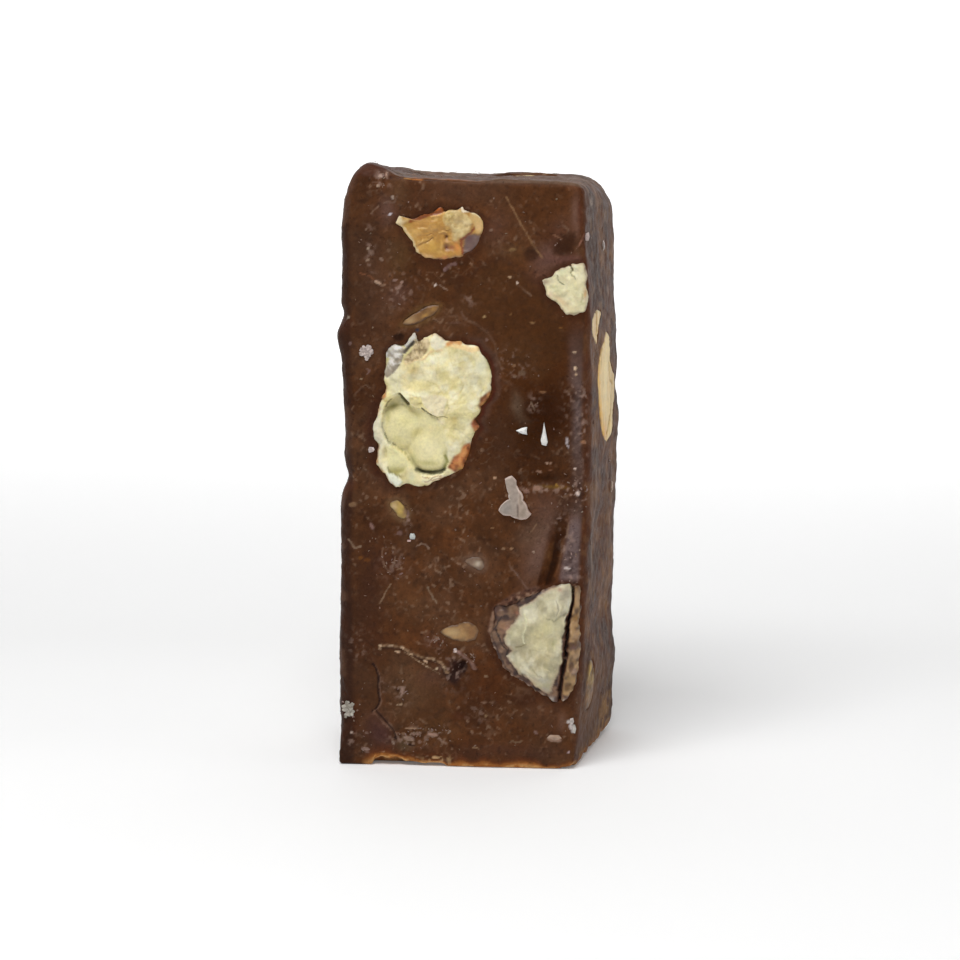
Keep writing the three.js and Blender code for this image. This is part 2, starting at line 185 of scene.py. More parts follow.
def front_relief(x, z):
    basin = 0.5 * spot(x, z, 6.5, 50, 4, 11)
    ledge = 0.45 * smooth(35.6, 37.2, z) * spot(x, z, 9.5, 38.5, 3.6, 3.6)
    groove = 0.75 * stroke(x, z, GROOVE, 1.1)
    slope = 0.3 * spot(x, z, 7.5, 28, 2.2, 5)
    ridge = 0.3 * stroke(x, z, RIDGE, 1.2)
    pit = 0.4 * spot(x, z, PIT[0], PIT[1], 1.4, 1.4)
    hollow = 0.3 * spot(x, z, -10, 9.5, 3.5, 4)
    return slope + ridge - basin - ledge - groove - pit - hollow + 0.17 * swell(x, z, 0.7)


def back_relief(x, z):
    dents = 0.6 * spot(x, z, 6, 22, 4, 6) + 0.5 * spot(x, z, -9, 55, 5, 4)
    lumps = 0.4 * spot(x, z, -3, 36, 6, 3.5) + 0.35 * spot(x, z, 11, 60, 4, 7)
    return lumps - dents + 0.22 * swell(x, z, 5.6)


def rounded_edge(a, b, radius):
    reach = np.hypot(np.maximum(radius + a, 0), np.maximum(radius + b, 0))
    return np.minimum(-radius, np.maximum(a, b)) + reach


def corner_radius(x, y, z):
    depth = (y + HALF_DEPTH) / (2 * HALF_DEPTH)
    top_right = mix(CORNER["top_right_front"], CORNER["top_right_back"], smooth(0, 1, depth))
    top = mix(CORNER["top_left"], top_right, smooth(-4, 4, x))
    return mix(CORNER["base"], top, smooth(3, 12, z))


def rim_radius(x, y, z):
    bevel = mix(EDGE["front"], EDGE["bevel"], 1 - smooth(50, 62, z))
    side = mix(EDGE["front_left"], bevel, smooth(-9, 5, x))
    crown = mix(EDGE["crown_left"], EDGE["front"], smooth(-13, -8, x))
    front = mix(side, crown, smooth(66, 71, z))
    rim = mix(front, EDGE["back"], smooth(-4, 4, y))
    return mix(EDGE["base"], rim, smooth(1, 6, z))


def block_distance(p):
    x, y, z = p[..., 0], p[..., 1], p[..., 2]
    right = x - right_wall(y, z) - right_relief(y, z)
    left = -x - left_wall(z) - 0.18 * swell(y, z, 1.9)
    top = z - top_wall(x) - top_relief(x, y)
    front = -y - HALF_DEPTH - front_relief(x, z)
    back = y - HALF_DEPTH - back_relief(x, z)
    profile = rounded_edge(np.maximum(right, left), np.maximum(top, -z), corner_radius(x, y, z))
    return rounded_edge(profile, np.maximum(front, back), rim_radius(x, y, z))


def leave_block(start, way, reach, rounds=30):
    inside = np.zeros(len(start))
    outside = np.full(len(start), float(reach))
    for _ in range(rounds):
        middle = (inside + outside) / 2
        within = block_distance(start + way * middle[:, None]) < 0
        inside = np.where(within, middle, inside)
        outside = np.where(within, outside, middle)
    return start + way * inside[:, None]


# How far each ray is along one side of the box of rays: 0 to 1 between the anchors, and below or
# above that in the fans that turn round the edges.
def stops(count, fan):
    below = np.linspace(-1, 0, fan, endpoint=False)
    above = np.linspace(2, 1, fan, endpoint=False)[::-1]
    return np.concatenate([below, np.linspace(0, 1, count + 1), above])


# The six sides of the box of rays: the axis that looks out, then the two that span it.
SIDES = [("y", -1, "x", 1, "z"), ("y", 1, "x", -1, "z"), ("x", 1, "y", 1, "z"),
         ("x", -1, "y", -1, "z"), ("z", 1, "x", 1, "y"), ("z", -1, "x", -1, "y")]


def side_quads(side, finer):
    out, sign, across, turn, up = side
    columns = stops(finer * STEPS[across], finer * FAN_STEPS)[::turn]
    rows = stops(finer * STEPS[up], finer * FAN_STEPS)
    grid = np.empty((len(rows), len(columns), 3))
    grid[..., "xyz".index(out)] = 2 if sign > 0 else -1
    grid[..., "xyz".index(across)] = columns
    grid[..., "xyz".index(up)] = rows[:, None]
    quads = np.stack([grid[:-1, :-1], grid[:-1, 1:], grid[1:, 1:], grid[1:, :-1]], 2)
    return quads.reshape(-1, 4, 3)


# Where a side meets the front, its border takes the front's middle points too, so no gap opens.
def with_seam(quads):
    faces = []
    for quad in quads:
        face = []
        for a, b in zip(quad, np.roll(quad, -1, axis=0)):
            face.append(a)
            if a[1] == b[1] == -1:
                face.append((a + b) / 2)
        faces.append(np.array(face))
    return faces


def block_mesh():
    front = list(side_quads(SIDES[0], FRONT_FINER))
    sides = np.concatenate([side_quads(side, 1) for side in SIDES[1:]])
    at_seam = ((sides[:, :, 1] == -1).sum(1) >= 2)
    rest = list(sides[~at_seam]) + with_seam(sides[at_seam])
    corners = np.concatenate(front + rest)
    codes = np.round((corners + 1) * 1e5).astype(np.int64) @ np.array([1, 10**6, 10**12])
    _, first, inverse = np.unique(codes, return_index=True, return_inverse=True)
    ends = np.cumsum([len(face) for face in front + rest])
    faces = np.split(inverse.ravel(), ends[:-1])
    stop = corners[first]
    place = np.clip(stop, 0, 1)
    lean = stop - place
    y = mix(ANCHOR - HALF_DEPTH, HALF_DEPTH - ANCHOR, place[:, 1])
    z = mix(ANCHOR, HEIGHT - ANCHOR, place[:, 2])
    x = mix(ANCHOR - left_wall(z), right_wall(y, z) - ANCHOR, place[:, 0])
    points = leave_block(np.stack([x, y, z], 1), lean, RAY)
    return points, faces[:len(front)], faces[len(front):]


def vertex_normals(points, faces):
    total = np.zeros_like(points)
    for size in sorted({len(face) for face in faces}):
        group = np.array([face for face in faces if len(face) == size]).reshape(-1, size)
        across = points[group[:, 2]] - points[group[:, 0]]
        up = points[group[:, -1]] - points[group[:, 1]]
        for column in range(size):
            np.add.at(total, group[:, column], np.cross(across, up))
    return total / np.linalg.norm(total, axis=1, keepdims=True)


def block_normal(points):
    step = 0.05
    slope = [
        block_distance(points + step * axis) - block_distance(points - step * axis)
        for axis in np.eye(3)
    ]
    slope = np.stack(slope, 1)
    return slope / np.linalg.norm(slope, axis=1, keepdims=True)


# Places on a face: u and v run in the face, and the point is where the block's surface is.
FACE_AXES = {
    "front": (0, 2, (0.0, -1.0, 0.0)),
    "back": (0, 2, (0.0, 1.0, 0.0)),
    "right": (1, 2, (1.0, 0.0, 0.0)),
    "left": (1, 2, (-1.0, 0.0, 0.0)),
    "top": (0, 1, (0.0, 0.0, 1.0)),
}
MIDDLE = np.array([0.0, 0.0, HEIGHT / 2])


def on_face(face, u, v):
    first, second, out = FACE_AXES[face]
    out = np.array(out)
    start = np.tile(MIDDLE * np.abs(out), (len(u), 1))
    start[:, first] = u
    start[:, second] = v
    return leave_block(start, np.tile(out, (len(u), 1)), 50.0), out


# A smooth closed outline through a few points, as its radius round the middle.
def outline(points, count=720):
    p = np.array(points, float)
    n = len(p)
    curve = []
    for k in range(n):
        a, b, c, d = p[k - 1], p[k], p[(k + 1) % n], p[(k + 2) % n]
        t = np.linspace(0, 1, 24, endpoint=False)[:, None]
        curve.append(0.5 * (2 * b + (c - a) * t + (2 * a - 5 * b + 4 * c - d) * t**2
                            + (3 * b - a - 3 * c + d) * t**3))
    curve = np.concatenate(curve)
    middle = curve.mean(0)
    away = curve - middle
    angle = np.arctan2(away[:, 1], away[:, 0])
    order = np.argsort(angle)
    grid = np.linspace(-math.pi, math.pi, count, endpoint=False)
    radius = np.interp(grid, angle[order], np.hypot(*away[order].T), period=2 * math.pi)
    return middle, grid, radius


def inside_outline(u, v, shape):
    middle, grid, radius = shape
    angle = np.arctan2(v - middle[1], u - middle[0])
    rim = np.interp(angle, grid, radius, period=2 * math.pi)
    return rim - np.hypot(u - middle[0], v - middle[1])


# How far inside a closed line of straight pieces a point is, below zero outside it.
def inside_patch(u, v, corners):
    inside = np.zeros(np.shape(u), bool)
    closed = corners + corners[:1]
    for (au, av), (bu, bv) in zip(closed, closed[1:]):
        crosses = (av > v) != (bv > v)
        inside ^= crosses & (u < au + (bu - au) * (v - av) / (bv - av if bv != av else 1e-9))
    return np.where(inside, 1, -1) * line_distance(u, v, closed)


def wander(u, v, p, amount, size, seed):
    return (u + amount * noise(p, size, seed, 2), v + amount * noise(p, size, seed + 500, 2))


# Layers of colour on a mesh.
class Paint:
    def __init__(self, count, base):
        self.rgb = np.tile(linear(base), (count, 1))

    def lay(self, colour, mask):
        mask = np.clip(mask, 0, 1)[:, None]
        self.rgb = mix(self.rgb, linear(colour)[None, :], mask)

    def shade(self, amount):
        self.rgb = self.rgb * np.asarray(amount)[:, None]


def new_object(name, points, faces, colour=None, gloss=None, flat=False):
    mesh = bpy.data.meshes.new(name)
    faces = [list(map(int, f)) for f in faces]
    mesh.from_pydata((np.asarray(points) * MM).tolist(), [], faces)
    mesh.validate()
    if colour is not None:
        layer = mesh.color_attributes.new("tone", "FLOAT_COLOR", "POINT")
        data = np.ones((len(points), 4), np.float32)
        data[:, :3] = np.clip(colour, 0, 1)
        layer.data.foreach_set("color", data.ravel())
    if gloss is not None:
        layer = mesh.attributes.new("gloss", "FLOAT", "POINT")
        layer.data.foreach_set("value", np.asarray(gloss, np.float32))
    mesh.shade_flat() if flat else mesh.shade_smooth()
    obj = bpy.data.objects.new(name, mesh)
    bpy.context.scene.collection.objects.link(obj)
    return obj


# ---------------------------------------------------------------- materials
class Nodes:
    def __init__(self, name):
        self.material = bpy.data.materials.new(name)
        self.material.use_nodes = True
        self.tree = self.material.node_tree
        self.shader = self.tree.nodes["Principled BSDF"]
        self.place = self.tree.nodes.new("ShaderNodeTexCoord").outputs["Object"]

    def link(self, source, target):
        self.tree.links.new(source, target)

    def attribute(self, name, output):
        node = self.tree.nodes.new("ShaderNodeAttribute")
        node.attribute_name = name
        return node.outputs[output]

    def noise(self, size_mm, detail=3.0, roughness=0.55, stretch=None, distortion=0.0):
        node = self.tree.nodes.new("ShaderNodeTexNoise")
        node.inputs["Scale"].default_value = 1 / (size_mm * MM)
        node.inputs["Detail"].default_value = detail
        node.inputs["Roughness"].default_value = roughness
        node.inputs["Distortion"].default_value = distortion
        place = self.place
        if stretch is not None:
            mapping = self.tree.nodes.new("ShaderNodeMapping")
            mapping.inputs["Scale"].default_value = stretch
            self.link(self.place, mapping.inputs["Vector"])
            place = mapping.outputs["Vector"]
        self.link(place, node.inputs["Vector"])
        return node.outputs["Fac"]

    def range(self, value, low, high, to_low=0.0, to_high=1.0):
        node = self.tree.nodes.new("ShaderNodeMapRange")
        node.inputs["From Min"].default_value = low
        node.inputs["From Max"].default_value = high
        node.inputs["To Min"].default_value = to_low
        node.inputs["To Max"].default_value = to_high
        self.link(value, node.inputs["Value"])
        return node.outputs["Result"]

    def math(self, how, a, b):
        node = self.tree.nodes.new("ShaderNodeMath")
        node.operation = how
        for k, value in enumerate((a, b)):
            if isinstance(value, (int, float)):
                node.inputs[k].default_value = value
            else:
                self.link(value, node.inputs[k])
        return node.outputs[0]

    def blend(self, how, factor, a, b):
        node = self.tree.nodes.new("ShaderNodeMix")
        node.data_type = "RGBA"
        node.blend_type = how
        for socket, value in ((node.inputs[0], factor), (node.inputs[6], a), (node.inputs[7], b)):
            if isinstance(value, (int, float)):
                socket.default_value = value
            elif isinstance(value, tuple):
                socket.default_value = (*linear(value), 1)
            else:
                self.link(value, socket)
        return node.outputs[2]

    def bump(self, height, distance_mm, strength=1.0, under=None):
        node = self.tree.nodes.new("ShaderNodeBump")
        node.inputs["Distance"].default_value = distance_mm * MM
        node.inputs["Strength"].default_value = strength
        self.link(height, node.inputs["Height"])
        if under is not None:
            self.link(under, node.inputs["Normal"])
        return node.outputs["Normal"]


def nougat_material():
    m = Nodes("nougat")
    tone = m.attribute("tone", "Color")
    cloud = m.noise(1.3, 5, 0.66, distortion=1.0)
    grain = m.noise(0.3, 3, 0.65)
    flake = m.noise(0.5, 4, 0.7, distortion=1.8)
    broad_shade = m.range(cloud, 0.32, 0.68, 0.84, 1.16)
    shade = m.math("MULTIPLY", broad_shade, m.range(grain, 0.3, 0.7, 0.86, 1.14))
    shaded = m.blend("MULTIPLY", 1.0, tone, shade)
    lifted = m.blend("ADD", 1.0, m.blend("MULTIPLY", 1.0, shaded, (240, 236, 232)), (50, 38, 32))
    flaked = m.blend("MIX", m.range(flake, 0.58, 0.72, 0.0, 0.6), shaded, lifted)
    pits = m.range(m.noise(0.42, 3, 0.6), 0.38, 0.31, 0.0, 0.5)
    pitted = m.blend("MIX", pits, flaked, (40, 20, 8))
    m.link(pitted, m.shader.inputs["Base Color"])
    gloss = m.attribute("gloss", "Fac")
    rough = m.math("ADD", gloss, m.range(m.noise(1.1, 4), 0.3, 0.7, -0.09, 0.09))
    m.link(rough, m.shader.inputs["Roughness"])
    broad = m.bump(cloud, 0.16, 0.5)
    scaly = m.bump(flake, 0.07, 0.5, broad)
    m.link(m.bump(grain, 0.04, 0.6, scaly), m.shader.inputs["Normal"])
    m.shader.inputs["Subsurface Weight"].default_value = 0.05
    m.shader.inputs["Subsurface Radius"].default_value = (1.0, 0.45, 0.2)
    m.shader.inputs["Subsurface Scale"].default_value = 0.8 * MM
    m.shader.inputs["IOR"].default_value = 1.4
    m.shader.inputs["Specular IOR Level"].default_value = 0.12
    return m.material


def nut_material():
    m = Nodes("nut")
    tone = m.attribute("tone", "Color")
    cloud = m.range(m.noise(1.6, 4), 0.3, 0.7, 0.92, 1.07)
    grain = m.range(m.noise(0.3, 3), 0.3, 0.7, 0.92, 1.07)
    shaded = m.blend("MULTIPLY", 1.0, tone, m.math("MULTIPLY", cloud, grain))
    m.link(shaded, m.shader.inputs["Base Color"])
    gloss = m.attribute("gloss", "Fac")
    rough = m.math("ADD", gloss, m.range(m.noise(0.8, 3), 0.3, 0.7, -0.08, 0.08))
    m.link(rough, m.shader.inputs["Roughness"])
    coarse = m.bump(m.noise(0.7, 4, 0.6), 0.12, 0.5)
    m.link(m.bump(m.noise(0.2, 3, 0.6), 0.03, 0.6, coarse), m.shader.inputs["Normal"])
    m.shader.inputs["Subsurface Weight"].default_value = 0.25
    m.shader.inputs["Subsurface Radius"].default_value = (1.0, 0.75, 0.35)
    m.shader.inputs["Subsurface Scale"].default_value = 0.9 * MM
    return m.material


def sugar_material():
    m = Nodes("sugar")
    tone = m.attribute("tone", "Color")
    grain = m.range(m.noise(0.5, 3), 0.3, 0.7, 0.82, 1.12)
    m.link(m.blend("MULTIPLY", 1.0, tone, grain), m.shader.inputs["Base Color"])
    m.link(m.range(m.noise(0.6, 2), 0.3, 0.7, 0.3, 0.55), m.shader.inputs["Roughness"])
    m.link(m.bump(m.noise(0.35, 3), 0.06, 0.6), m.shader.inputs["Normal"])
    m.shader.inputs["Subsurface Weight"].default_value = 0.3
    m.shader.inputs["Subsurface Radius"].default_value = (0.9, 0.9, 0.8)
    m.shader.inputs["Subsurface Scale"].default_value = 0.5 * MM
    return m.material


NOUGAT = nougat_material()
NUT = nut_material()
SUGAR = sugar_material()

# ---------------------------------------------------------------- the nuts' outlines
NUTS = {
    "nut_large": (
        "front", 8.5,
        [
            (-6.8, 55.1), (-5.1, 55.7), (-4.6, 55.9), (-3.7, 55.4), (-3.2, 55.1), (-1.5, 55.1),
            (-0.7, 54.6), (0.6, 54.3), (1.2, 53.5), (2.0, 52.7), (2.5, 51.4), (2.5, 50.6),
            (2.5, 49.5), (2.6, 48.6), (2.2, 47.5), (1.4, 46.7), (1.2, 45.8), (0.7, 45.0),
            (1.1, 44.0), (0.6, 43.3), (0.1, 42.1), (-0.2, 40.4), (-0.9, 39.0), (-1.1, 38.5),
            (-1.9, 38.0), (-3.8, 37.3), (-4.9, 36.8), (-6.0, 36.3), (-6.9, 36.1), (-8.0, 36.4),
            (-8.7, 36.4), (-9.5, 36.1), (-10.6, 36.9), (-11.1, 37.9), (-11.8, 38.2), (-12.2, 39.2),
            (-12.3, 40.6), (-12.2, 41.6), (-12.7, 42.3), (-12.7, 43.4), (-12.6, 44.5),
            (-12.2, 45.4), (-12.0, 46.5), (-11.6, 47.5), (-11.1, 48.2), (-11.1, 49.3),
            (-11.3, 50.2), (-11.1, 51.3), (-11.1, 52.3), (-10.9, 53.7), (-10.1, 54.5), (-8.6, 54.6),
            (-7.9, 55.4), (-7.2, 56.0),
        ],
    ),
    "nut_top": (
        "front", 5.0,
        [
            (-7.3, 70.2), (-8.0, 70.1), (-8.7, 70.3), (-9.3, 70.5), (-9.5, 69.9), (-9.5, 69.4),
            (-9.0, 69.1), (-8.8, 68.6), (-8.3, 67.9), (-7.8, 67.3), (-7.4, 66.5), (-7.1, 65.9),
            (-6.6, 65.5), (-5.8, 65.1), (-4.4, 64.9), (-3.6, 64.8), (-2.7, 65.1), (-1.9, 65.2),
            (-1.2, 65.1), (-0.7, 65.6), (0.2, 66.0), (0.7, 66.5), (1.1, 67.2), (1.3, 68.1),
            (1.6, 68.7), (1.5, 69.6), (1.2, 70.3), (0.5, 70.8), (-0.4, 71.1), (-1.2, 71.6),
            (-1.7, 71.3), (-2.7, 71.3), (-3.3, 71.2), (-3.7, 71.7), (-4.1, 71.8), (-4.4, 71.5),
            (-4.9, 71.2), (-5.6, 70.9), (-6.7, 70.6),
        ],
    ),
    "nut_edge": (
        "front", 4.5,
        [
            (8.5, 62.6), (8.8, 61.7), (9.2, 60.6), (10.0, 60.0), (10.7, 59.4), (11.4, 58.5),
            (12.0, 58.2), (12.8, 58.1), (13.5, 58.4), (14.1, 58.6), (14.4, 59.4), (14.6, 60.2),
            (14.6, 60.9), (14.4, 61.6), (14.3, 62.2), (14.4, 62.8), (14.4, 63.4), (14.2, 64.0),
            (13.9, 64.8), (13.2, 64.8), (12.2, 64.6), (11.6, 64.3), (10.7, 64.0), (10.2, 63.6),
            (9.7, 63.1),
        ],
    ),
    "nut_corner": (
        "front", 7.5,
        [
            (2.7, 21.3), (2.6, 20.0), (2.5, 18.9), (2.1, 17.4), (2.3, 16.2), (2.7, 15.3),
            (3.3, 14.2), (3.8, 13.2), (4.9, 12.1), (6.2, 11.3), (7.3, 10.7), (8.0, 10.1),
            (8.9, 9.6), (9.8, 9.1), (10.6, 8.5), (11.6, 8.8), (12.5, 9.7), (13.0, 10.4),
            (13.4, 12.2), (13.7, 13.5), (13.8, 15.4), (13.8, 17.0), (13.7, 18.9), (13.8, 21.0),
            (13.7, 22.6), (13.8, 23.7), (12.9, 24.1), (12.2, 24.3), (11.0, 24.2), (9.7, 23.7),
            (8.8, 23.5), (7.1, 22.8), (6.0, 22.4), (5.4, 21.8), (4.3, 21.5),
        ],
    ),
    "nut_side": (
        "right", 4.5,
        [
            (1.4, 55.0), (-1.3, 54.0), (-3.4, 52.9), (-5.0, 51.0), (-4.8, 47.9), (-4.0, 44.9),
            (-2.2, 42.3), (0.0, 40.7), (2.0, 40.6), (5.0, 41.4), (5.6, 42.8), (7.7, 45.8),
            (7.1, 48.3), (5.4, 50.0), (3.7, 51.6), (3.3, 53.6),
        ],
    ),
    "nut_side_small": (
        "right", 1.8,
        [
            (-9.3, 56.9), (-8.6, 55.7), (-7.2, 54.8), (-5.9, 54.1), (-5.1, 54.1), (-4.6, 55.4),
            (-3.9, 56.8), (-2.6, 57.8), (-5.2, 58.4), (-7.6, 57.8),
        ],
    ),
    "nut_side_low": (
        "right", 1.0,
        [
            (-6.6, 13.3), (-7.4, 12.0), (-7.6, 9.6), (-7.2, 7.2), (-5.4, 6.4), (-3.9, 7.4),
            (-3.4, 9.6), (-4.4, 11.9), (-5.4, 13.1),
        ],
    ),
    "chip_tan": (
        "front", 1.6, [(-4.2, 17.6), (-1.9, 16.3), (0.4, 16.6), (0.9, 18.1), (-0.4, 19.1),
        (-2.4, 18.7)],
    ),
    "chip_gold": (
        "front", 0.9, [(-8.9, 56.9), (-7.0, 56.9), (-4.8, 58.1), (-4.0, 59.3), (-5.5, 59.3),
        (-7.4, 58.3)],
    ),
    "chip_yellow": (
        "front", 1.2, [(-10.6, 34.1), (-9.7, 32.6), (-8.7, 32.1), (-8.0, 32.8), (-8.6, 34.0),
        (-9.6, 34.7)],
    ),
    "chip_pink": (
        "front", 1.1, [(-1.0, 26.9), (0.0, 26.0), (1.2, 25.7), (1.7, 26.6), (1.0, 27.5),
        (-0.2, 27.5)],
    ),
    "nut_back_high": (
        "back", 6.0,
        [
            (-6.0, 67.5), (-10.5, 64.0), (-9.8, 58.0), (-5.5, 55.2), (-1.4, 58.4), (-0.8, 64.5),
            (-3.0, 67.2),
        ],
    ),
    "nut_back_middle": (
        "back", 5.5,
        [
            (5.5, 49.3), (1.2, 47.0), (-0.6, 41.0), (1.4, 36.4), (5.2, 36.8), (8.2, 41.0),
            (8.6, 46.5),
        ],
    ),
    "nut_back_low": (
        "back", 6.0,
        [
            (-6.5, 27.0), (-10.5, 23.5), (-11.2, 17.5), (-8.0, 13.6), (-4.0, 15.2), (-2.4, 20.0),
            (-3.3, 25.0),
        ],
    ),
    "nut_back_small": (
        "back", 3.5, [(8.0, 14.5), (5.2, 12.0), (5.8, 8.4), (9.0, 7.4), (11.6, 9.6), (11.2, 13.2)],
    ),
    "nut_left_high": (
        "left", 3.8,
        [
            (2.5, 68.5), (-2.0, 66.8), (-3.4, 62.5), (-1.0, 59.6), (3.0, 60.4), (5.6, 63.6),
            (5.4, 67.0),
        ],
    ),
    "nut_left_low": (
        "left", 4.0,
        [
            (-0.5, 29.5), (-4.4, 26.5), (-4.8, 20.5), (-1.6, 17.0), (2.2, 18.6), (3.6, 24.0),
            (2.4, 28.0),
        ],
    ),
    "nut_upper": (
        "top", 4.0, [(8.6, 5.6), (4.8, 6.2), (1.8, 3.8), (2.2, 0.8), (5.6, -0.2), (9.0, 1.6),
        (10.0, 3.8)],
    ),
}
SHAPES = {name: outline(points) for name, (_, _, points) in NUTS.items()}

# ---------------------------------------------------------------- the nougat
# Broad soft patches on the cut face: x, z, reach across and up, turn in degrees, colour, share.
# The pale lilac-grey patches stand partly for fat bloom and partly for painted sheen.
PATCHES = [
    (-12.6, 62, 3.0, 9.5, 0, (82, 54, 38), 0.6), (-10.6, 71.2, 1.1, 1.4, 0, (104, 78, 70), 0.6),
    (-9.2, 60.9, 1.4, 1.3, 0, (104, 74, 64), 0.6), (-3.5, 60, 4.5, 2.4, 0, (92, 58, 32), 0.5),
    (-0.2, 61.7, 1.4, 2.0, 0, (72, 36, 10), 0.7), (-3.0, 60.4, 1.1, 0.8, 0, (70, 34, 8), 0.6),
    (-1.5, 73.4, 5.0, 1.6, 0, (88, 58, 42), 0.6), (-6.5, 72.5, 2.4, 1.4, 0, (76, 46, 28), 0.5),
    (-9.3, 73.8, 1.2, 1.6, 0, (98, 72, 50), 0.5), (-9.0, 65.2, 1.6, 2.6, 0, (84, 60, 34), 0.5),
    (8, 71.5, 5, 2.6, 0, (82, 47, 22), 0.7), (3.0, 68.5, 1.6, 2.4, 0, (92, 62, 50), 0.6),
    (5.0, 66.3, 2.4, 1.2, 0, (96, 66, 40), 0.6), (12.6, 70.6, 0.5, 2.6, 0, (120, 88, 74), 0.75),
    (13.4, 71.5, 0.45, 2.6, 0, (90, 46, 34), 0.7), (6.4, 54.0, 6.4, 9.5, 0, (78, 40, 10), 1.0),
    (8.0, 60.6, 2.6, 2.2, 0, (70, 34, 4), 0.7), (10.0, 55, 3.6, 3.4, 0, (64, 30, 3), 0.8),
    (5.4, 53.0, 3.2, 2.6, 20, (94, 62, 36), 0.5), (7.8, 44.2, 4.2, 5.6, 0, (55, 26, 2), 1.0),
    (9.6, 46.2, 2.6, 3.2, 0, (46, 18, 0), 0.8), (3.6, 43.0, 1.6, 4.0, 0, (68, 42, 26), 0.7),
    (5.8, 46.6, 0.7, 1.7, 20, (98, 78, 62), 0.75), (1.2, 55.6, 1.4, 1.4, 0, (74, 48, 32), 0.5),
    (9.6, 65.9, 1.5, 3.6, -25, (102, 72, 62), 0.8), (12.0, 65.2, 2.8, 0.5, 0, (100, 66, 58), 0.8),
    (11.0, 66.8, 1.7, 1.0, -15, (60, 30, 12), 0.6),
    (9.6, 68.2, 1.6, 0.9, 0, (70, 36, 12), 0.7),
    (9.5, 33.4, 2.8, 2.4, 0, (96, 66, 52), 0.7), (8.3, 28.6, 1.5, 4.4, -14, (108, 80, 68), 0.95),
    (7.2, 30.4, 1.4, 2.2, -30, (98, 72, 56), 0.7), (-14, 18, 3, 10, 0, (72, 42, 26), 0.5),
    (-13.0, 24.0, 1.6, 5.0, 0, (66, 36, 24), 0.5), (-11.2, 26.4, 2.2, 1.2, 0, (78, 44, 30), 0.5),
    (-7.8, 21.5, 2.6, 2.0, 0, (94, 62, 38), 0.5), (-12.1, 4.2, 1.5, 2.3, 20, (78, 48, 42), 1.0),
    (-7.6, 10.2, 3.8, 3.6, 0, (92, 64, 42), 0.7), (-5.2, 11.6, 1.8, 1.2, 0, (90, 60, 46), 0.6),
    (-15.6, 6.0, 1.0, 4.0, 0, (76, 38, 20), 0.6), (-8.8, 2.9, 1.0, 0.6, 0, (88, 70, 50), 0.8),
    (-5.4, 4.9, 2.6, 1.4, 0, (88, 58, 30), 0.5), (2.0, 11.5, 2.2, 3.6, 0, (74, 38, 14), 0.8),
    (7.4, 9.0, 2.2, 0.9, 0, (62, 30, 12), 0.8), (-1.7, 10.6, 1.3, 0.7, 0, (66, 34, 12), 0.8),
    (-1.6, 6.8, 0.9, 0.5, 0, (74, 36, 14), 0.8), (9.8, 6.9, 2.6, 2.2, 0, (86, 54, 36), 0.6),
    (11.5, 6.4, 0.5, 1.2, 0, (112, 80, 64), 0.75), (4.0, 2.2, 8.0, 1.0, 0, (80, 50, 38), 0.5),
    (-5.0, 1.7, 3.2, 0.6, 0, (86, 44, 20), 0.7), (-4.6, 16.4, 1.2, 1.0, 0, (96, 58, 40), 0.7),
]
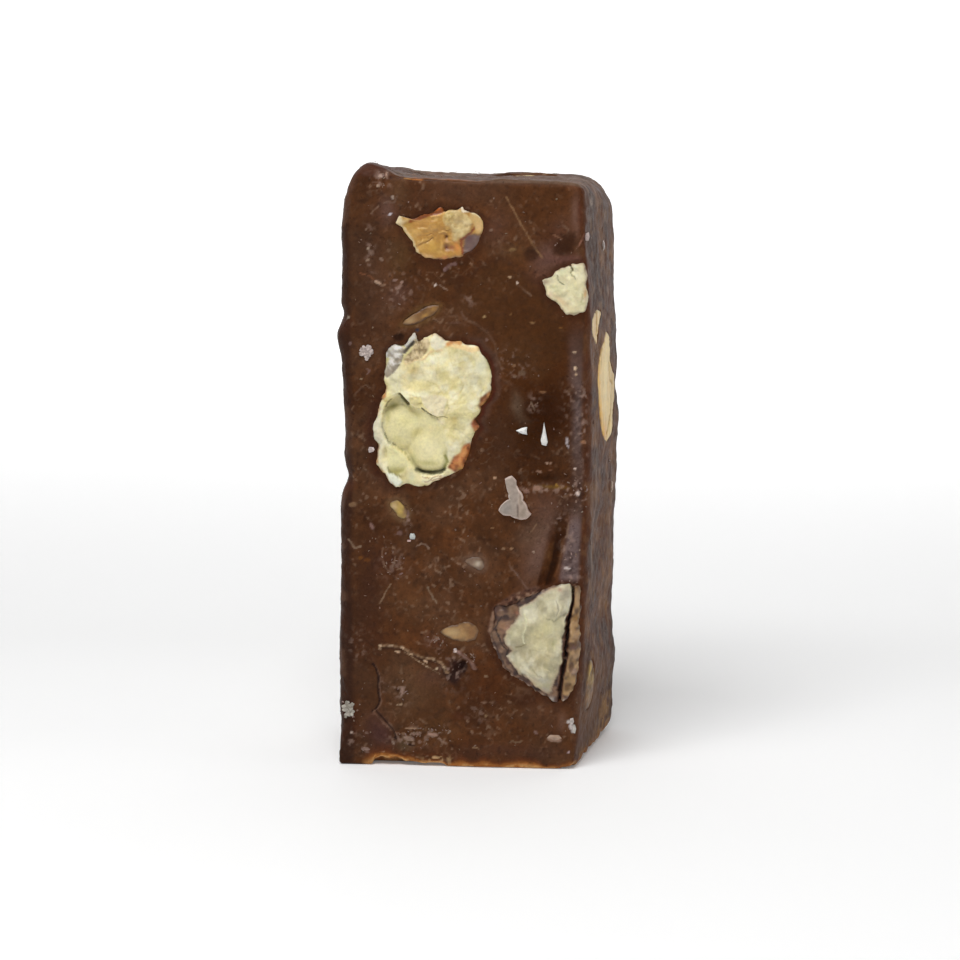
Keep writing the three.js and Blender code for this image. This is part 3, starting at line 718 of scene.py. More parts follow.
# Crisp flecks and crumbs: x, z, reach across and up, turn in degrees, colour, rise.
FLECKS = [
    (-11.5, 75.3, 0.32, 0.24, 30, (176, 150, 136), 0.1),
    (-10.7, 75.5, 0.25, 0.3, 0, (172, 140, 122), 0.1),
    (-11.7, 74.1, 0.2, 0.2, 0, (165, 140, 120), 0.08),
    (-9.9, 72.7, 0.2, 0.2, 0, (160, 140, 125), 0.08),
    (-10.2, 70.6, 0.2, 0.16, 0, (205, 195, 200), 0.08),
    # These two, gold and orange on the top edge, are a painted highlight: the glow of light through
    # the thin edge.
    (-8.1, 75.3, 0.6, 0.25, -12, (190, 135, 70), 0.05),
    (-6.9, 75.0, 0.9, 0.22, -6, (165, 100, 45), 0.03),
    (-11.8, 62.1, 0.5, 0.26, -25, (172, 142, 120), 0.14),
    (-11.2, 61.8, 0.4, 0.2, 0, (130, 100, 80), 0.08),
    (-9.7, 62.4, 0.3, 0.14, 20, (140, 112, 100), 0.06),
    (-8.8, 62.2, 0.22, 0.2, 0, (150, 120, 105), 0.06),
    (-4.63, 61.8, 0.2, 0.18, 0, (215, 195, 180), 0.1),
    (-13.1, 66.3, 0.18, 0.18, 0, (150, 130, 112), 0.05),
    (-13.1, 64.9, 0.24, 0.16, 40, (140, 115, 96), 0.05),
    (-13.2, 68.7, 0.2, 0.13, 0, (120, 96, 80), 0.04),
    (-11.4, 65.0, 0.3, 0.2, -35, (130, 104, 88), 0.05),
    (4.7, 62.9, 0.18, 0.16, 0, (170, 140, 110), 0.06),
    (5.6, 62.2, 0.16, 0.16, 0, (220, 195, 175), 0.08),
    (5.0, 66.3, 0.5, 0.25, 10, (126, 96, 62), 0.05), (2.4, 68.7, 0.25, 0.2, 0, (122, 96, 80), 0.04),
    (14.25, 66.3, 0.12, 0.24, 0, (195, 175, 165), 0.06),
    (-15.7, 57.6, 0.3, 0.16, 25, (140, 124, 108), 0.06),
    (-15.4, 54.4, 0.2, 0.22, 0, (112, 88, 82), 0.05),
    (-14.0, 50.0, 0.2, 0.12, -20, (150, 130, 105), 0.05),
    (-9.2, 55.25, 0.75, 0.5, 0, (40, 20, 8), -0.12),
    (-6.9, 56.15, 0.3, 0.2, 0, (52, 50, 60), -0.05),
    (1.45, 57.9, 0.22, 0.16, 10, (170, 138, 96), 0.06),
    (7.5, 57.2, 0.34, 0.16, 0, (125, 92, 60), 0.05),
    (4.8, 58.2, 0.24, 0.14, 30, (112, 78, 46), 0.04),
    (11.0, 56.6, 0.24, 0.13, 0, (120, 80, 40), 0.04),
    (1.8, 55.0, 0.24, 0.18, 0, (118, 90, 78), 0.05),
    (12.8, 53.6, 0.22, 0.14, 0, (205, 175, 145), 0.06),
    (12.85, 51.5, 0.2, 0.26, 0, (214, 184, 152), 0.1),
    (12.95, 50.8, 0.16, 0.2, 0, (190, 160, 130), 0.06),
    (5.2, 51.8, 0.26, 0.18, 20, (125, 92, 66), 0.05), (6.2, 50.9, 0.5, 0.4, 0, (104, 80, 62), 0.06),
    (8.8, 48.5, 0.5, 0.14, 0, (128, 90, 62), 0.06),
    (5.35, 50.4, 0.18, 0.16, 0, (132, 104, 84), 0.05),
    (13.9, 42.2, 0.4, 0.24, -20, (150, 108, 80), 0.06),
    (11.95, 42.2, 0.18, 0.7, 10, (178, 166, 166), 0.08),
    (2.8, 37.6, 0.22, 0.2, 0, (180, 145, 115), 0.07),
    (9.35, 39.5, 0.2, 0.14, 0, (160, 128, 108), 0.06),
    (9.85, 39.5, 0.18, 0.14, 0, (150, 118, 98), 0.06),
    (8.4, 38.4, 0.36, 0.18, -15, (140, 108, 90), 0.06),
    (9.8, 38.55, 0.24, 0.13, 0, (120, 80, 58), 0.05),
    (12.9, 38.9, 0.18, 0.14, 0, (225, 200, 185), 0.07),
    (6.8, 35.9, 0.45, 0.26, -10, (128, 96, 82), 0.08),
    (8.2, 36.3, 0.55, 0.32, 0, (138, 106, 88), 0.08),
    (10.6, 36.75, 0.2, 0.2, 0, (150, 112, 52), 0.06),
    (13.3, 35.8, 0.3, 0.34, 0, (214, 194, 184), 0.1),
    (11.0, 32.5, 0.34, 0.16, 0, (150, 122, 110), 0.06),
    (2.5, 31.2, 0.26, 0.12, 0, (135, 100, 70), 0.04),
    (4.95, 28.6, 0.2, 0.2, 0, (150, 115, 85), 0.06),
    (3.9, 28.5, 0.22, 0.18, 0, (135, 104, 78), 0.05),
    (7.8, 28.3, 0.2, 0.14, 0, (165, 138, 120), 0.05),
    (12.0, 26.15, 0.5, 0.16, -8, (205, 190, 184), 0.06),
    (14.95, 32.5, 0.1, 0.55, 12, (205, 190, 176), 0.08),
    (-15.2, 33.9, 0.55, 0.3, 5, (124, 94, 68), 0.06),
    (-12.75, 31.2, 0.28, 0.45, 30, (126, 96, 88), 0.06),
    (-9.2, 30.4, 0.4, 0.3, 30, (104, 78, 70), 0.05),
    (-8.2, 33.0, 0.22, 0.34, 0, (124, 98, 88), 0.06),
    (-8.1, 32.1, 0.24, 0.24, 0, (130, 104, 92), 0.06),
    (-14.3, 27.1, 0.3, 0.2, 20, (104, 64, 26), 0.03),
    (-13.4, 26.8, 0.5, 0.3, 0, (98, 58, 26), 0.03),
    (-4.55, 27.0, 0.42, 0.42, 0, (100, 72, 54), 0.06),
    (-4.3, 27.1, 0.12, 0.3, 0, (122, 92, 72), 0.03),
    (-2.2, 15.15, 0.18, 0.18, 0, (228, 208, 198), 0.1),
    (-9.4, 8.0, 0.42, 0.13, 0, (160, 134, 108), 0.07),
    (-5.1, 4.15, 0.7, 0.28, -6, (152, 122, 106), 0.14),
    (-8.2, 3.6, 0.8, 0.36, -10, (148, 122, 106), 0.1),
    (-7.9, 5.0, 0.8, 0.13, -4, (152, 122, 98), 0.08),
    (-9.9, 3.65, 0.28, 0.28, 0, (34, 16, 10), -0.2),
    (-10.2, 2.95, 0.18, 0.35, 30, (136, 114, 100), 0.06),
    (-11.5, 1.7, 0.2, 0.14, 0, (160, 140, 118), 0.06),
    (-13.8, 1.98, 0.68, 0.27, -35, (128, 100, 88), 0.12),
    (-15.6, 4.3, 0.16, 0.16, 0, (170, 150, 138), 0.06),
    (-13.6, 4.2, 0.3, 0.13, -25, (126, 98, 86), 0.04),
    (-7.9, 2.7, 0.7, 0.13, -10, (44, 22, 12), -0.08),
    (1.75, 12.0, 0.24, 0.16, 0, (124, 98, 76), 0.04), (1.5, 8.6, 0.4, 0.16, 0, (118, 88, 70), 0.04),
    (1.7, 6.8, 0.24, 0.16, 0, (132, 104, 76), 0.05),
    (8.1, 4.75, 0.3, 0.2, -20, (124, 96, 86), 0.05),
    (12.3, 2.3, 0.12, 0.2, 0, (175, 150, 150), 0.05),
    (10.5, 3.85, 1.0, 0.3, -6, (150, 120, 102), 0.16),
    (12.25, 6.2, 0.24, 0.24, 0, (205, 194, 188), 0.12),
    (12.6, 5.5, 0.24, 0.5, 15, (200, 190, 186), 0.14),
    (12.75, 4.9, 0.2, 0.24, 0, (180, 172, 168), 0.1),
    (0.4, 2.6, 0.5, 0.12, -10, (150, 120, 92), 0.05),
    (-4.6, 12.9, 0.2, 0.14, 0, (200, 172, 140), 0.06),
    (-9.55, 15.05, 0.35, 0.16, -10, (205, 172, 140), 0.08),
    (-7.9, 14.75, 0.4, 0.12, -25, (205, 170, 135), 0.07),
    (-6.0, 13.8, 0.34, 0.16, -30, (205, 172, 140), 0.08),
    (-11.8, 15.4, 0.24, 0.2, 0, (150, 122, 96), 0.06),
]
# Thin scratches, hairs and cracks: the line, its reach, colour, share and rise.
LINES = [
    ([(4.2, 72.8), (5.3, 70.8), (6.3, 69.0), (7.5, 67.0), (8.7, 65.4)], 0.13, (132, 98, 68), 0.85,
     0.04),
    ([(-12.6, 70.7), (-11.7, 71.6)], 0.11, (122, 94, 76), 0.7, 0.03),
    ([(-12.3, 74.5), (-11.7, 74.6)], 0.1, (128, 100, 84), 0.6, 0.03),
    ([(-10.9, 72.1), (-9.8, 72.05), (-9.35, 72.9)], 0.13, (116, 92, 78), 0.6, 0.03),
    ([(-14.1, 63.3), (-12.9, 62.9), (-12.3, 62.4)], 0.1, (130, 82, 56), 0.7, 0.03),
    ([(-4.1, 61.8), (-3.1, 61.2)], 0.1, (150, 122, 104), 0.8, 0.04),
    ([(-3.4, 63.7), (-2.9, 64.3), (-2.1, 64.5)], 0.22, (124, 96, 92), 0.85, 0.06),
    ([(5.8, 61.8), (6.6, 61.2), (7.4, 60.6)], 0.14, (132, 104, 84), 0.6, 0.04),
    ([(10.1, 68.2), (11.2, 67.6)], 0.11, (130, 92, 70), 0.8, 0.03),
    ([(13.2, 66.7), (13.9, 68.2)], 0.13, (160, 110, 90), 0.7, 0.03),
    ([(-14.7, 48.1), (-13.9, 49.0), (-13.3, 49.2), (-12.8, 48.8)], 0.1, (120, 94, 78), 0.75, 0.03),
    ([(-13.3, 51.3), (-12.9, 51.0), (-13.2, 50.6)], 0.13, (124, 98, 92), 0.75, 0.03),
    ([(-2.9, 57.1), (-1.6, 57.2), (-0.4, 56.7)], 0.1, (106, 76, 62), 0.7, 0.03),
    ([(-1.4, 58.6), (-1.2, 58.0), (-0.7, 57.6)], 0.14, (110, 82, 66), 0.7, 0.03),
    ([(7.4, 47.2), (7.8, 46.2)], 0.12, (132, 108, 90), 0.8, 0.04),
    ([(7.3, 30.7), (8.1, 31.7)], 0.1, (130, 100, 76), 0.6, 0.03),
    ([(4.7, 26.4), (5.8, 25.2), (7.0, 23.5)], 0.13, (118, 90, 76), 0.8, 0.04),
    ([(-10.45, 23.8), (-11.1, 22.7), (-11.8, 21.3)], 0.11, (130, 104, 82), 0.9, 0.04),
    ([(-5.7, 23.4), (-5.2, 22.4), (-4.6, 21.4)], 0.12, (130, 106, 86), 0.9, 0.04), ([(-15.8, 29.4),
    (-15.3, 28.8), (-14.9, 28.4), (-14.2, 28.6)], 0.15, (136, 112, 92), 0.8, 0.04), ([(-7.05, 28.7),
    (-6.6, 28.95), (-5.9, 28.9), (-5.6, 28.4)], 0.12, (140, 116, 100), 0.85, 0.04),
    ([(-11.5, 28.0), (-11.4, 26.9), (-11.2, 26.1), (-10.5, 25.3)], 0.11, (126, 98, 80), 0.7, 0.03),
    ([(-9.85, 27.3), (-9.9, 26.7), (-10.2, 26.0)], 0.13, (134, 108, 90), 0.8, 0.04),
    ([(-9.6, 25.7), (-9.0, 25.8)], 0.13, (148, 120, 98), 0.8, 0.04),
    ([(4.8, 3.45), (5.2, 3.6), (5.6, 3.4), (6.0, 3.5), (6.4, 3.65)], 0.11, (136, 112, 88), 0.85,
     0.04),
    ([(-4.3, 3.7), (-3.9, 3.3), (-3.4, 3.1)], 0.14, (140, 112, 96), 0.8, 0.06),
    ([(-1.8, 15.0), (-0.8, 14.3), (-0.1, 13.6), (0.3, 13.0)], 0.28, (146, 116, 106), 0.8, 0.14),
    ([(-13.0, 6.7), (-12.4, 6.7), (-11.6, 5.7), (-10.8, 5.0)], 0.12, (124, 92, 76), 0.8, 0.08),
]
CRACKS = [
    [(-12.8, 13.3), (-12.4, 12.7), (-12.1, 11.6), (-12.1, 9.6), (-11.9, 8.5), (-12.3, 7.6),
     (-12.9, 7.1)],
    [(-12.3, 7.1), (-11.5, 6.1), (-10.8, 5.35), (-10.05, 4.45), (-9.95, 3.8)],
]
RIDGE_LINES = [
    [(-11.8, 15.8), (-10.6, 15.8), (-9.0, 15.6), (-7.6, 14.8), (-6.3, 14.3), (-4.9, 14.1),
     (-3.9, 13.6), (-3.3, 12.5)],
    [(-8.7, 15.0), (-6.8, 13.7), (-5.5, 13.0), (-4.1, 12.2)],
]
# Crumbly zones: x, z, reach across and up, turn in degrees, strength.
CRUMBLY = [
    (-11.2, 75.0, 1.1, 0.9, 0, 0.8), (-12.8, 66.5, 0.5, 3.0, 0, 0.5),
    (-9.2, 61.3, 1.6, 1.6, 0, 0.7), (13.2, 35.9, 1.35, 1.35, 0, 1.2),
    (13.3, 43.9, 1.1, 3.2, 8, 0.9), (13.6, 48.2, 1.3, 0.8, -25, 0.8),
    (12.5, 27.2, 0.75, 3.0, 8, 1.1), (8.6, 36.2, 2.4, 0.45, 0, 0.8), (11.0, 32.2, 0.7, 0.6, 0, 0.8),
    (-4.6, 16.4, 0.9, 0.9, 0, 0.7), (-2.6, 12.6, 1.1, 1.6, 0, 1.0), (-9.2, 9.8, 0.65, 1.0, 35, 1.2),
    (-8.2, 3.9, 2.0, 0.9, -5, 1.0), (-5.0, 5.2, 1.2, 0.7, 0, 0.6), (-11.7, 10.2, 0.35, 0.7, 0, 0.7),
    (-15.6, 3.4, 0.6, 1.0, 0, 0.6), (-8.3, 32.6, 0.4, 0.9, 15, 0.8), (-9.1, 30.6, 0.6, 0.6, 0, 0.7),
    (0.8, 7.4, 1.6, 1.4, 0, 0.4), (7.6, 47.0, 0.7, 1.0, 0, 0.6), (-0.2, 60.2, 0.8, 0.8, 0, 0.5),
    (-14.6, 15.6, 1.2, 1.6, 0, 0.45), (5.2, 52.0, 1.6, 1.4, 0, 0.6),
    (-10.0, 26.3, 1.4, 1.4, 0, 0.45),
]
# The colour of the nougat that each chip is smeared into.
CHIP_SMEARS = {
    "chip_tan": (96, 62, 36),
    "chip_gold": (104, 74, 42),
    "chip_yellow": (110, 82, 56),
    "chip_pink": (104, 78, 62),
}
# The crust of the corner nut that stays on the chocolate at its upper left.
CRUST = [(2.6, 18.0), (3.2, 20.6), (5.4, 22.2), (8.0, 23.2)]
# Hollows above the pale nut, and a broad sweep that a thin arc closes off below.
DARK_HOLLOW = [
    (10.1, 65.8), (10.3, 67.0), (11.3, 68.1), (12.5, 68.5), (12.7, 67.5), (12.4, 66.2),
    (11.3, 65.7),
]
SMALL_HOLLOW = [(6.6, 66.0), (7.1, 66.8), (8.1, 66.5), (8.4, 65.6), (7.8, 65.1), (7.0, 65.2)]
SWEEP = [
    (-2.4, 58.7), (-1.4, 61.9), (1.0, 64.0), (3.6, 65.1), (5.7, 64.0), (8.1, 62.0), (10.7, 58.6),
    (12.3, 56.5), (11.8, 52.5), (7.8, 49.8), (5.2, 52.4), (3.3, 55.1), (0.7, 57.7),
]
# The thin arc is painted light, as the highlight on a low ring round the large nut.
ARC = [(-4.8, 57.7), (-2.4, 57.8), (-0.3, 57.2), (1.4, 56.0), (2.7, 54.3), (3.5, 52.4), (3.7, 50.8)]
GROOVE_EDGE = [
    (10.65, 32.2), (11.4, 32.4), (12.0, 31.7), (11.85, 30.4), (11.3, 29.8), (11.1, 28.3),
    (10.9, 26.8), (10.5, 25.4), (9.9, 23.8), (8.2, 23.8), (8.6, 26.0), (9.3, 28.0), (10.0, 30.4),
]


def lay_marks(paint, x, z, p, weight):
    rise = np.zeros(len(x))
    fx, fz = wander(x, z, p, 0.1, 0.5, 33)
    crumbly = np.zeros(len(x))
    for u, v, ru, rv, turn, strength in CRUMBLY:
        crumbly += strength * spot(fx, fz, u, v, ru, rv, math.radians(turn)) ** 0.7
    crumbly = np.clip(crumbly, 0, 1) * weight
    # The crumbs are raised and painted light, and the dips between them dark: painted highlight and
    # shade.
    crumb = noise(p @ TURN, 0.5, 35, 2)
    rise += 0.16 * crumbly * crumb
    paint.lay((164, 136, 122), 0.7 * crumbly * smooth(0.12, 0.42, crumb))
    paint.lay((48, 28, 20), 0.55 * crumbly * smooth(0.1, 0.4, -crumb))
    # Painted shadow under the first ridge line.
    below = [(u, v - 0.3) for u, v in RIDGE_LINES[0]]
    paint.lay((58, 34, 22), 0.7 * stroke(fx, fz, below, 0.25) * weight)
    for line, reach in zip(RIDGE_LINES, (0.19, 0.1)):
        flaky = smooth(-0.25, 0.15, noise(p, 0.6, 36, 2))
        ridge = smooth(0.25, 0.75, stroke(fx, fz, line, reach)) * weight * (0.35 + 0.65 * flaky)
        paint.lay((150, 120, 92), 0.75 * ridge)
        # Painted highlight spots along the ridge.
        paint.lay((206, 178, 148), 0.7 * ridge * smooth(0.15, 0.4, noise(p, 0.45, 47)))
        rise += 0.7 * reach * ridge
    for line, reach, colour, share, height in LINES:
        mask = smooth(0.2, 0.7, stroke(fx, fz, line, reach)) * weight
        paint.lay(colour, share * mask * (0.75 + 0.6 * noise(p, 0.6, 37)))
        rise += height * mask
    for u, v, ru, rv, turn, colour, height in FLECKS:
        mask = smooth(0.25, 0.6, spot(fx, fz, u, v, ru, rv, math.radians(turn))) * weight
        paint.lay(colour, 0.95 * mask)
        rise += height * mask
    # Each crack is painted dark as the shadow in it, with a lighter lower edge painted as lit.
    for line in CRACKS:
        mask = stroke(fx, fz, line, 0.13) * weight
        lower = [(u + 0.16, v - 0.14) for u, v in line]
        paint.lay((128, 98, 82), 0.5 * stroke(fx, fz, lower, 0.12) * weight)
        paint.lay((34, 16, 12), 0.9 * smooth(0.25, 0.75, mask))
        rise -= 0.16 * mask
    return rise


# Paints the cut face, and returns how much smoother its shiny places are.
def paint_front(paint, x, z, weight, p):
    wx, wz = wander(x, z, p, 0.6, 2.2, 31)

    def lay(colour, mask):
        paint.lay(colour, mask * weight)

    for u, v, ru, rv, turn, colour, share in PATCHES:
        lay(colour, share * spot(wx, wz, u, v, ru, rv, math.radians(turn)))
    sweep = inside_patch(wx, wz, SWEEP)
    lay((76, 47, 24), 0.5 * smooth(-0.6, 0.8, sweep))
    lay((60, 34, 20), 0.4 * bump(sweep + 0.2, 0.5) * smooth(58, 62, z))
    # Painted highlight along the arc.
    lay((114, 86, 68), 0.5 * smooth(0.2, 0.8, stroke(wx, wz, ARC, 0.2)) * (0.7 + noise(p, 0.8, 34)))
    half_x, half_z = 0.4 * x + 0.6 * wx, 0.4 * z + 0.6 * wz
    for hollow in (DARK_HOLLOW, SMALL_HOLLOW):
        lay((52, 27, 12), 0.75 * smooth(-0.4, 0.35, inside_patch(half_x, half_z, hollow)))
    # The front's right border is a soft band beside the edge, reddest next to it.
    # The band's grey-lilac and its lighter spot are painted sheen and highlight of the bevel.
    sheen_strip = smooth(12.1, 13.3, wx + 0.01 * (z - 24)) * smooth(23.5, 25, z) * (1 - smooth(53, 59, z))
    lay((88, 66, 58), 0.75 * sheen_strip)
    lay((118, 100, 96), 0.6 * sheen_strip * spot(wx, wz, 13.2, 46, 1.2, 5))
    # Lower down, the bevel's sheen is painted too.
    low_sheen_strip = smooth(11.0, 11.8, x - 0.16 * (z - 27))
    low_sheen_strip = low_sheen_strip * smooth(24, 25, z) * (1 - smooth(31, 34, z))
    lay((112, 94, 92), 0.85 * low_sheen_strip * (1 - smooth(13.3, 13.9, x)))
    lay((84, 45, 22), 0.9 * smooth(13.7, 14.1, x) * (1 - smooth(31, 35, z)) * smooth(12, 20, z))
    lay((78, 40, 22), 0.8 * bump(x - 15.3, 0.3) * smooth(38, 42, z) * (1 - smooth(52, 54, z)))
    inside = inside_patch(wx * 0.25 + x * 0.75, wz * 0.25 + z * 0.75, GROOVE_EDGE)
    lay((46, 20, 2), smooth(-0.15, 0.25, inside))
    lay((84, 50, 26), 0.6 * smooth(0.0, 0.3, inside) * smooth(29.5, 32, z))
    lay((136, 108, 88), 0.8 * bump(inside + 0.12, 0.12) * smooth(0, 0.6, x - 10.2 - 0.2 * (z - 24)))
    lay((48, 22, 3), 0.95 * bump(z - 37.7 - 0.03 * (x - 9), 0.75) * spot(x, z, 9.2, 37.6, 2.9, 3))
    lay((112, 82, 30), 0.8 * bump(z - 36.55 + 0.03 * (x - 9), 0.2) * spot(x, z, 10.3, 36.5, 1.8, 2))
    lay((44, 24, 22), 0.85 * smooth(0.3, 0.8, spot(wx, wz, -2.5, 12.6, 1.3, 1.9)))
    lay((34, 14, 12), 0.9 * smooth(0.3, 0.7, spot(x, z, -1.25, 13.1, 0.6, 1.0)))
    for name in ("nut_large", "nut_top", "nut_edge", "nut_corner"):
        rim = -inside_outline(x, z, SHAPES[name])
        lay((58, 28, 14), 0.5 * bump(rim - 0.1, 0.45))
    for name, colour in CHIP_SMEARS.items():
        lay(colour, 0.7 * bump(np.maximum(-inside_outline(x, z, SHAPES[name]), 0), 0.45))
    rim = -inside_outline(x, z, SHAPES["nut_large"])
    right_rim = smooth(-2, 1, x) * smooth(40, 46, z)
    lay((74, 28, 14), 0.9 * bump(rim - 0.15, 0.2) * right_rim)
    lay((88, 66, 58), 0.45 * bump(rim - 0.7, 0.4) * right_rim)
    low_left = (1 - smooth(-12, -9, x)) * (1 - smooth(46, 50, z))
    lay((60, 26, 18), 0.5 * bump(rim - 0.5, 0.8) * low_left)
    crust = stroke(x, z, CRUST, 0.7)
    crust_grain = noise(p, 0.6, 38, 2)
    lay((96, 66, 52), 0.85 * smooth(0.2, 0.6, crust))
    lay((150, 118, 96), 0.8 * smooth(0.3, 0.7, crust) * smooth(0.05, 0.35, crust_grain))
    lay((48, 26, 20), 0.8 * smooth(0.3, 0.7, crust) * smooth(0.05, 0.35, -crust_grain))
    return (0.14 * spot(wx, wz, 7, 46, 5.5, 11) + 0.08 * sheen_strip) * weight


# A glow where the thin chocolate at the foot lets light through, broken into gold crumbs.
def paint_foot(paint, x, z, p, weight):
    tall = 0.75 + 0.7 * spot(x, 0 * x, -11.2, 0, 2.4, 1) + 0.5 * noise(p * (1, 1, 0), 1.6, 39, 2)
    glow = weight * smooth(-14.6, -12.6, x) * (1 - 0.5 * smooth(9, 12, x))
    paint.lay((108, 54, 24), 0.75 * glow * (1 - smooth(0.6, 1.8, z / tall)))
    paint.lay((164, 104, 50), 0.9 * glow * (1 - smooth(0.35, 1.15, z / tall)))
    gold = glow * (1 - smooth(0.1, 0.75, z / tall)) * smooth(-0.15, 0.25, noise(p, 0.8, 29, 2))
    paint.lay((210, 164, 106), 0.8 * gold)
    crumbs = glow * spot(x, z, -4.4, 0.8, 1.7, 0.6) * smooth(0.0, 0.3, noise(p, 0.5, 30, 2))
    paint.lay((206, 168, 122), 0.8 * crumbs)


def nougat_texture(paint, points, weights):
    front, other = weights["front"], 1 - weights["front"]
    points = points @ TURN
    hue = noise(points, 4.2, 24, 3)
    mottle = noise(points, 2.8, 21, 4)
    fine = noise(points, 0.9, 28, 3)
    paint.lay((88, 59, 40), 0.5 * smooth(0.02, 0.3, hue))
    paint.lay((76, 41, 18), 0.5 * smooth(0.02, 0.3, -hue))
    paint.shade(np.exp(0.42 * mottle + 0.26 * fine))
    # Curved strokes, pale dots and dark pores, as a blade leaves on chocolate.
    patchy = smooth(0.02, 0.25, noise(points, 2.6, 43, 2))
    strokes = (1 - smooth(0.02, 0.07, np.abs(noise(points, 1.5, 41, 2)))) * patchy
    dots = smooth(0.5, 0.72, noise(points, 0.45, 44) * front + noise(points, 0.6, 44) * other)
    pores = smooth(0.5, 0.72, noise(points, 0.55, 46) * front + noise(points, 0.7, 46) * other)
    paint.lay((122, 94, 74), 0.32 * strokes)
    paint.lay((146, 116, 94), 0.36 * dots * (0.4 + patchy))
    paint.lay((46, 24, 12), 0.4 * pores)
    return 0.03 * strokes + 0.05 * dots - 0.06 * pores


def face_weights(normal):
    ways = {"front": -normal[:, 1], "back": normal[:, 1], "right": normal[:, 0],
            "left": -normal[:, 0],
            "top": normal[:, 2]}
    return {face: smooth(0.35, 0.75, way) for face, way in ways.items()}


def nougat_pieces():
    points, front_faces, rest_faces = block_mesh()
    normal = block_normal(points)
    x, y, z = points.T
    weights = face_weights(normal)
    front, right, top = weights["front"], weights["right"], weights["top"]
    paint = Paint(len(points), (83, 49, 25))
    relief = nougat_texture(paint, points, weights)
    gloss = 0.5 - paint_front(paint, x, z, front, points)
    facing_front = -normal[:, 1]
    # The left edge is painted darker in a band, darkest where it turns away from the front: painted
    # shade of the side away from the light.
    band = 1 - smooth(-15.7, -14.9, x + 0.25 * noise(points, (2, 2, 9), 27))
    band = band * smooth(-0.1, 0.2, facing_front)
    paint.lay((58, 33, 21), 0.9 * band)
    paint.shade(1 - 0.16 * front * (1 - smooth(-13.5, -10.5, x)))
    dark = band * (1 - smooth(-0.1, 0.5, facing_front))
    paint.lay((34, 22, 15), 0.9 * dark)
    paint_sides(paint, points, weights, normal[:, 2])
    relief += lay_marks(paint, x, z, points, front)
    paint_foot(paint, x, z, points, smooth(-0.2, 0.4, facing_front + 0.6 * right))

    # Small unevenness everywhere, long scrapes on the top, and a sound flat base.
    relief += 0.10 * noise(points, 1.9, 1, 3) + 0.035 * noise(points, 0.75, 2, 2)
    relief += 0.15 * noise(points, (2.4, 4.4, 3.4), 3, 3) * (right + weights["left"])
    relief += 0.12 * noise(points, (12, 1.0, 1.0), 4, 3) * top
    relief += front * 0.35 * spot(x, z, -2.7, 12.8, 0.9, 1.5) * (1 + 0.6 * noise(points, 0.6, 8))
    relief -= front * 0.5 * spot(x, z, -1.25, 13.1, 0.55, 0.95)
    relief += front * 0.25 * stroke(x, z, CRUST, 0.6)
    top_dents = 0.28 * top * spot(x, y, -12.4, -9, 1.6, 5)
    top_dents += 0.3 * top * smooth(-11, -9, x) * (1 - smooth(0, 4, x))
    relief -= top_dents
    relief *= smooth(0.0, 0.6, z)
    for name, (face, _, _) in NUTS.items():
        first, second, out = FACE_AXES[face]
        depth = inside_outline(points[:, first], points[:, second], SHAPES[name])
        facing = smooth(0.02, 0.1, normal @ np.array(out))
        relief -= 1.3 * smooth(0.25, 0.6, depth) * facing
        relief += 0.05 * bump(depth + 0.35, 0.4) * facing
    points = points + normal * relief[:, None]
    foot = (1 - smooth(0, 2.0, z)) * smooth(8.8, 10.4, -y)
    ragged = 0.22 * noise(np.stack([x, 0 * x, 0 * x], 1), 0.9, 11, 2)
    notch = 0.95 * smooth(-13.1, -12.5, x) * (1 - smooth(-9.3, -8.4, x))
    notch += (0.5 - 0.12 * (x + 8.4) / 5) * smooth(-9.3, -8.4, x) * (1 - smooth(-3.8, -3.0, x))
    notch += 0.65 * smooth(10.9, 13.4, x)
    points[:, 2] += np.maximum(notch + ragged * (notch > 0), 0) * foot
    side_foot = (1 - smooth(0, 2.2, z)) * smooth(12.5, 14.5, x) * (1 - smooth(8.8, 10.4, -y))
    points[:, 2] += (0.4 + 0.35 * smooth(5, 10, y) + 0.5 * noise(points, 1.1, 12, 2)) * side_foot
    points[:, 2] = np.maximum(points[:, 2], 0)

    shading = vertex_normals(points, front_faces + rest_faces)
    made = []
    for name, faces in (("nougat_front", front_faces), ("nougat_sides", rest_faces)):
        used, flat = np.unique(np.concatenate(faces), return_inverse=True)
        ends = np.cumsum([len(face) for face in faces])
        own = np.split(flat.ravel(), ends[:-1])
        obj = new_object(name, points[used], own, paint.rgb[used], gloss[used])
        obj.data.normals_split_custom_set_from_vertices(shading[used].tolist())
        obj.data.materials.append(NOUGAT)
        made.append(obj)
    return made


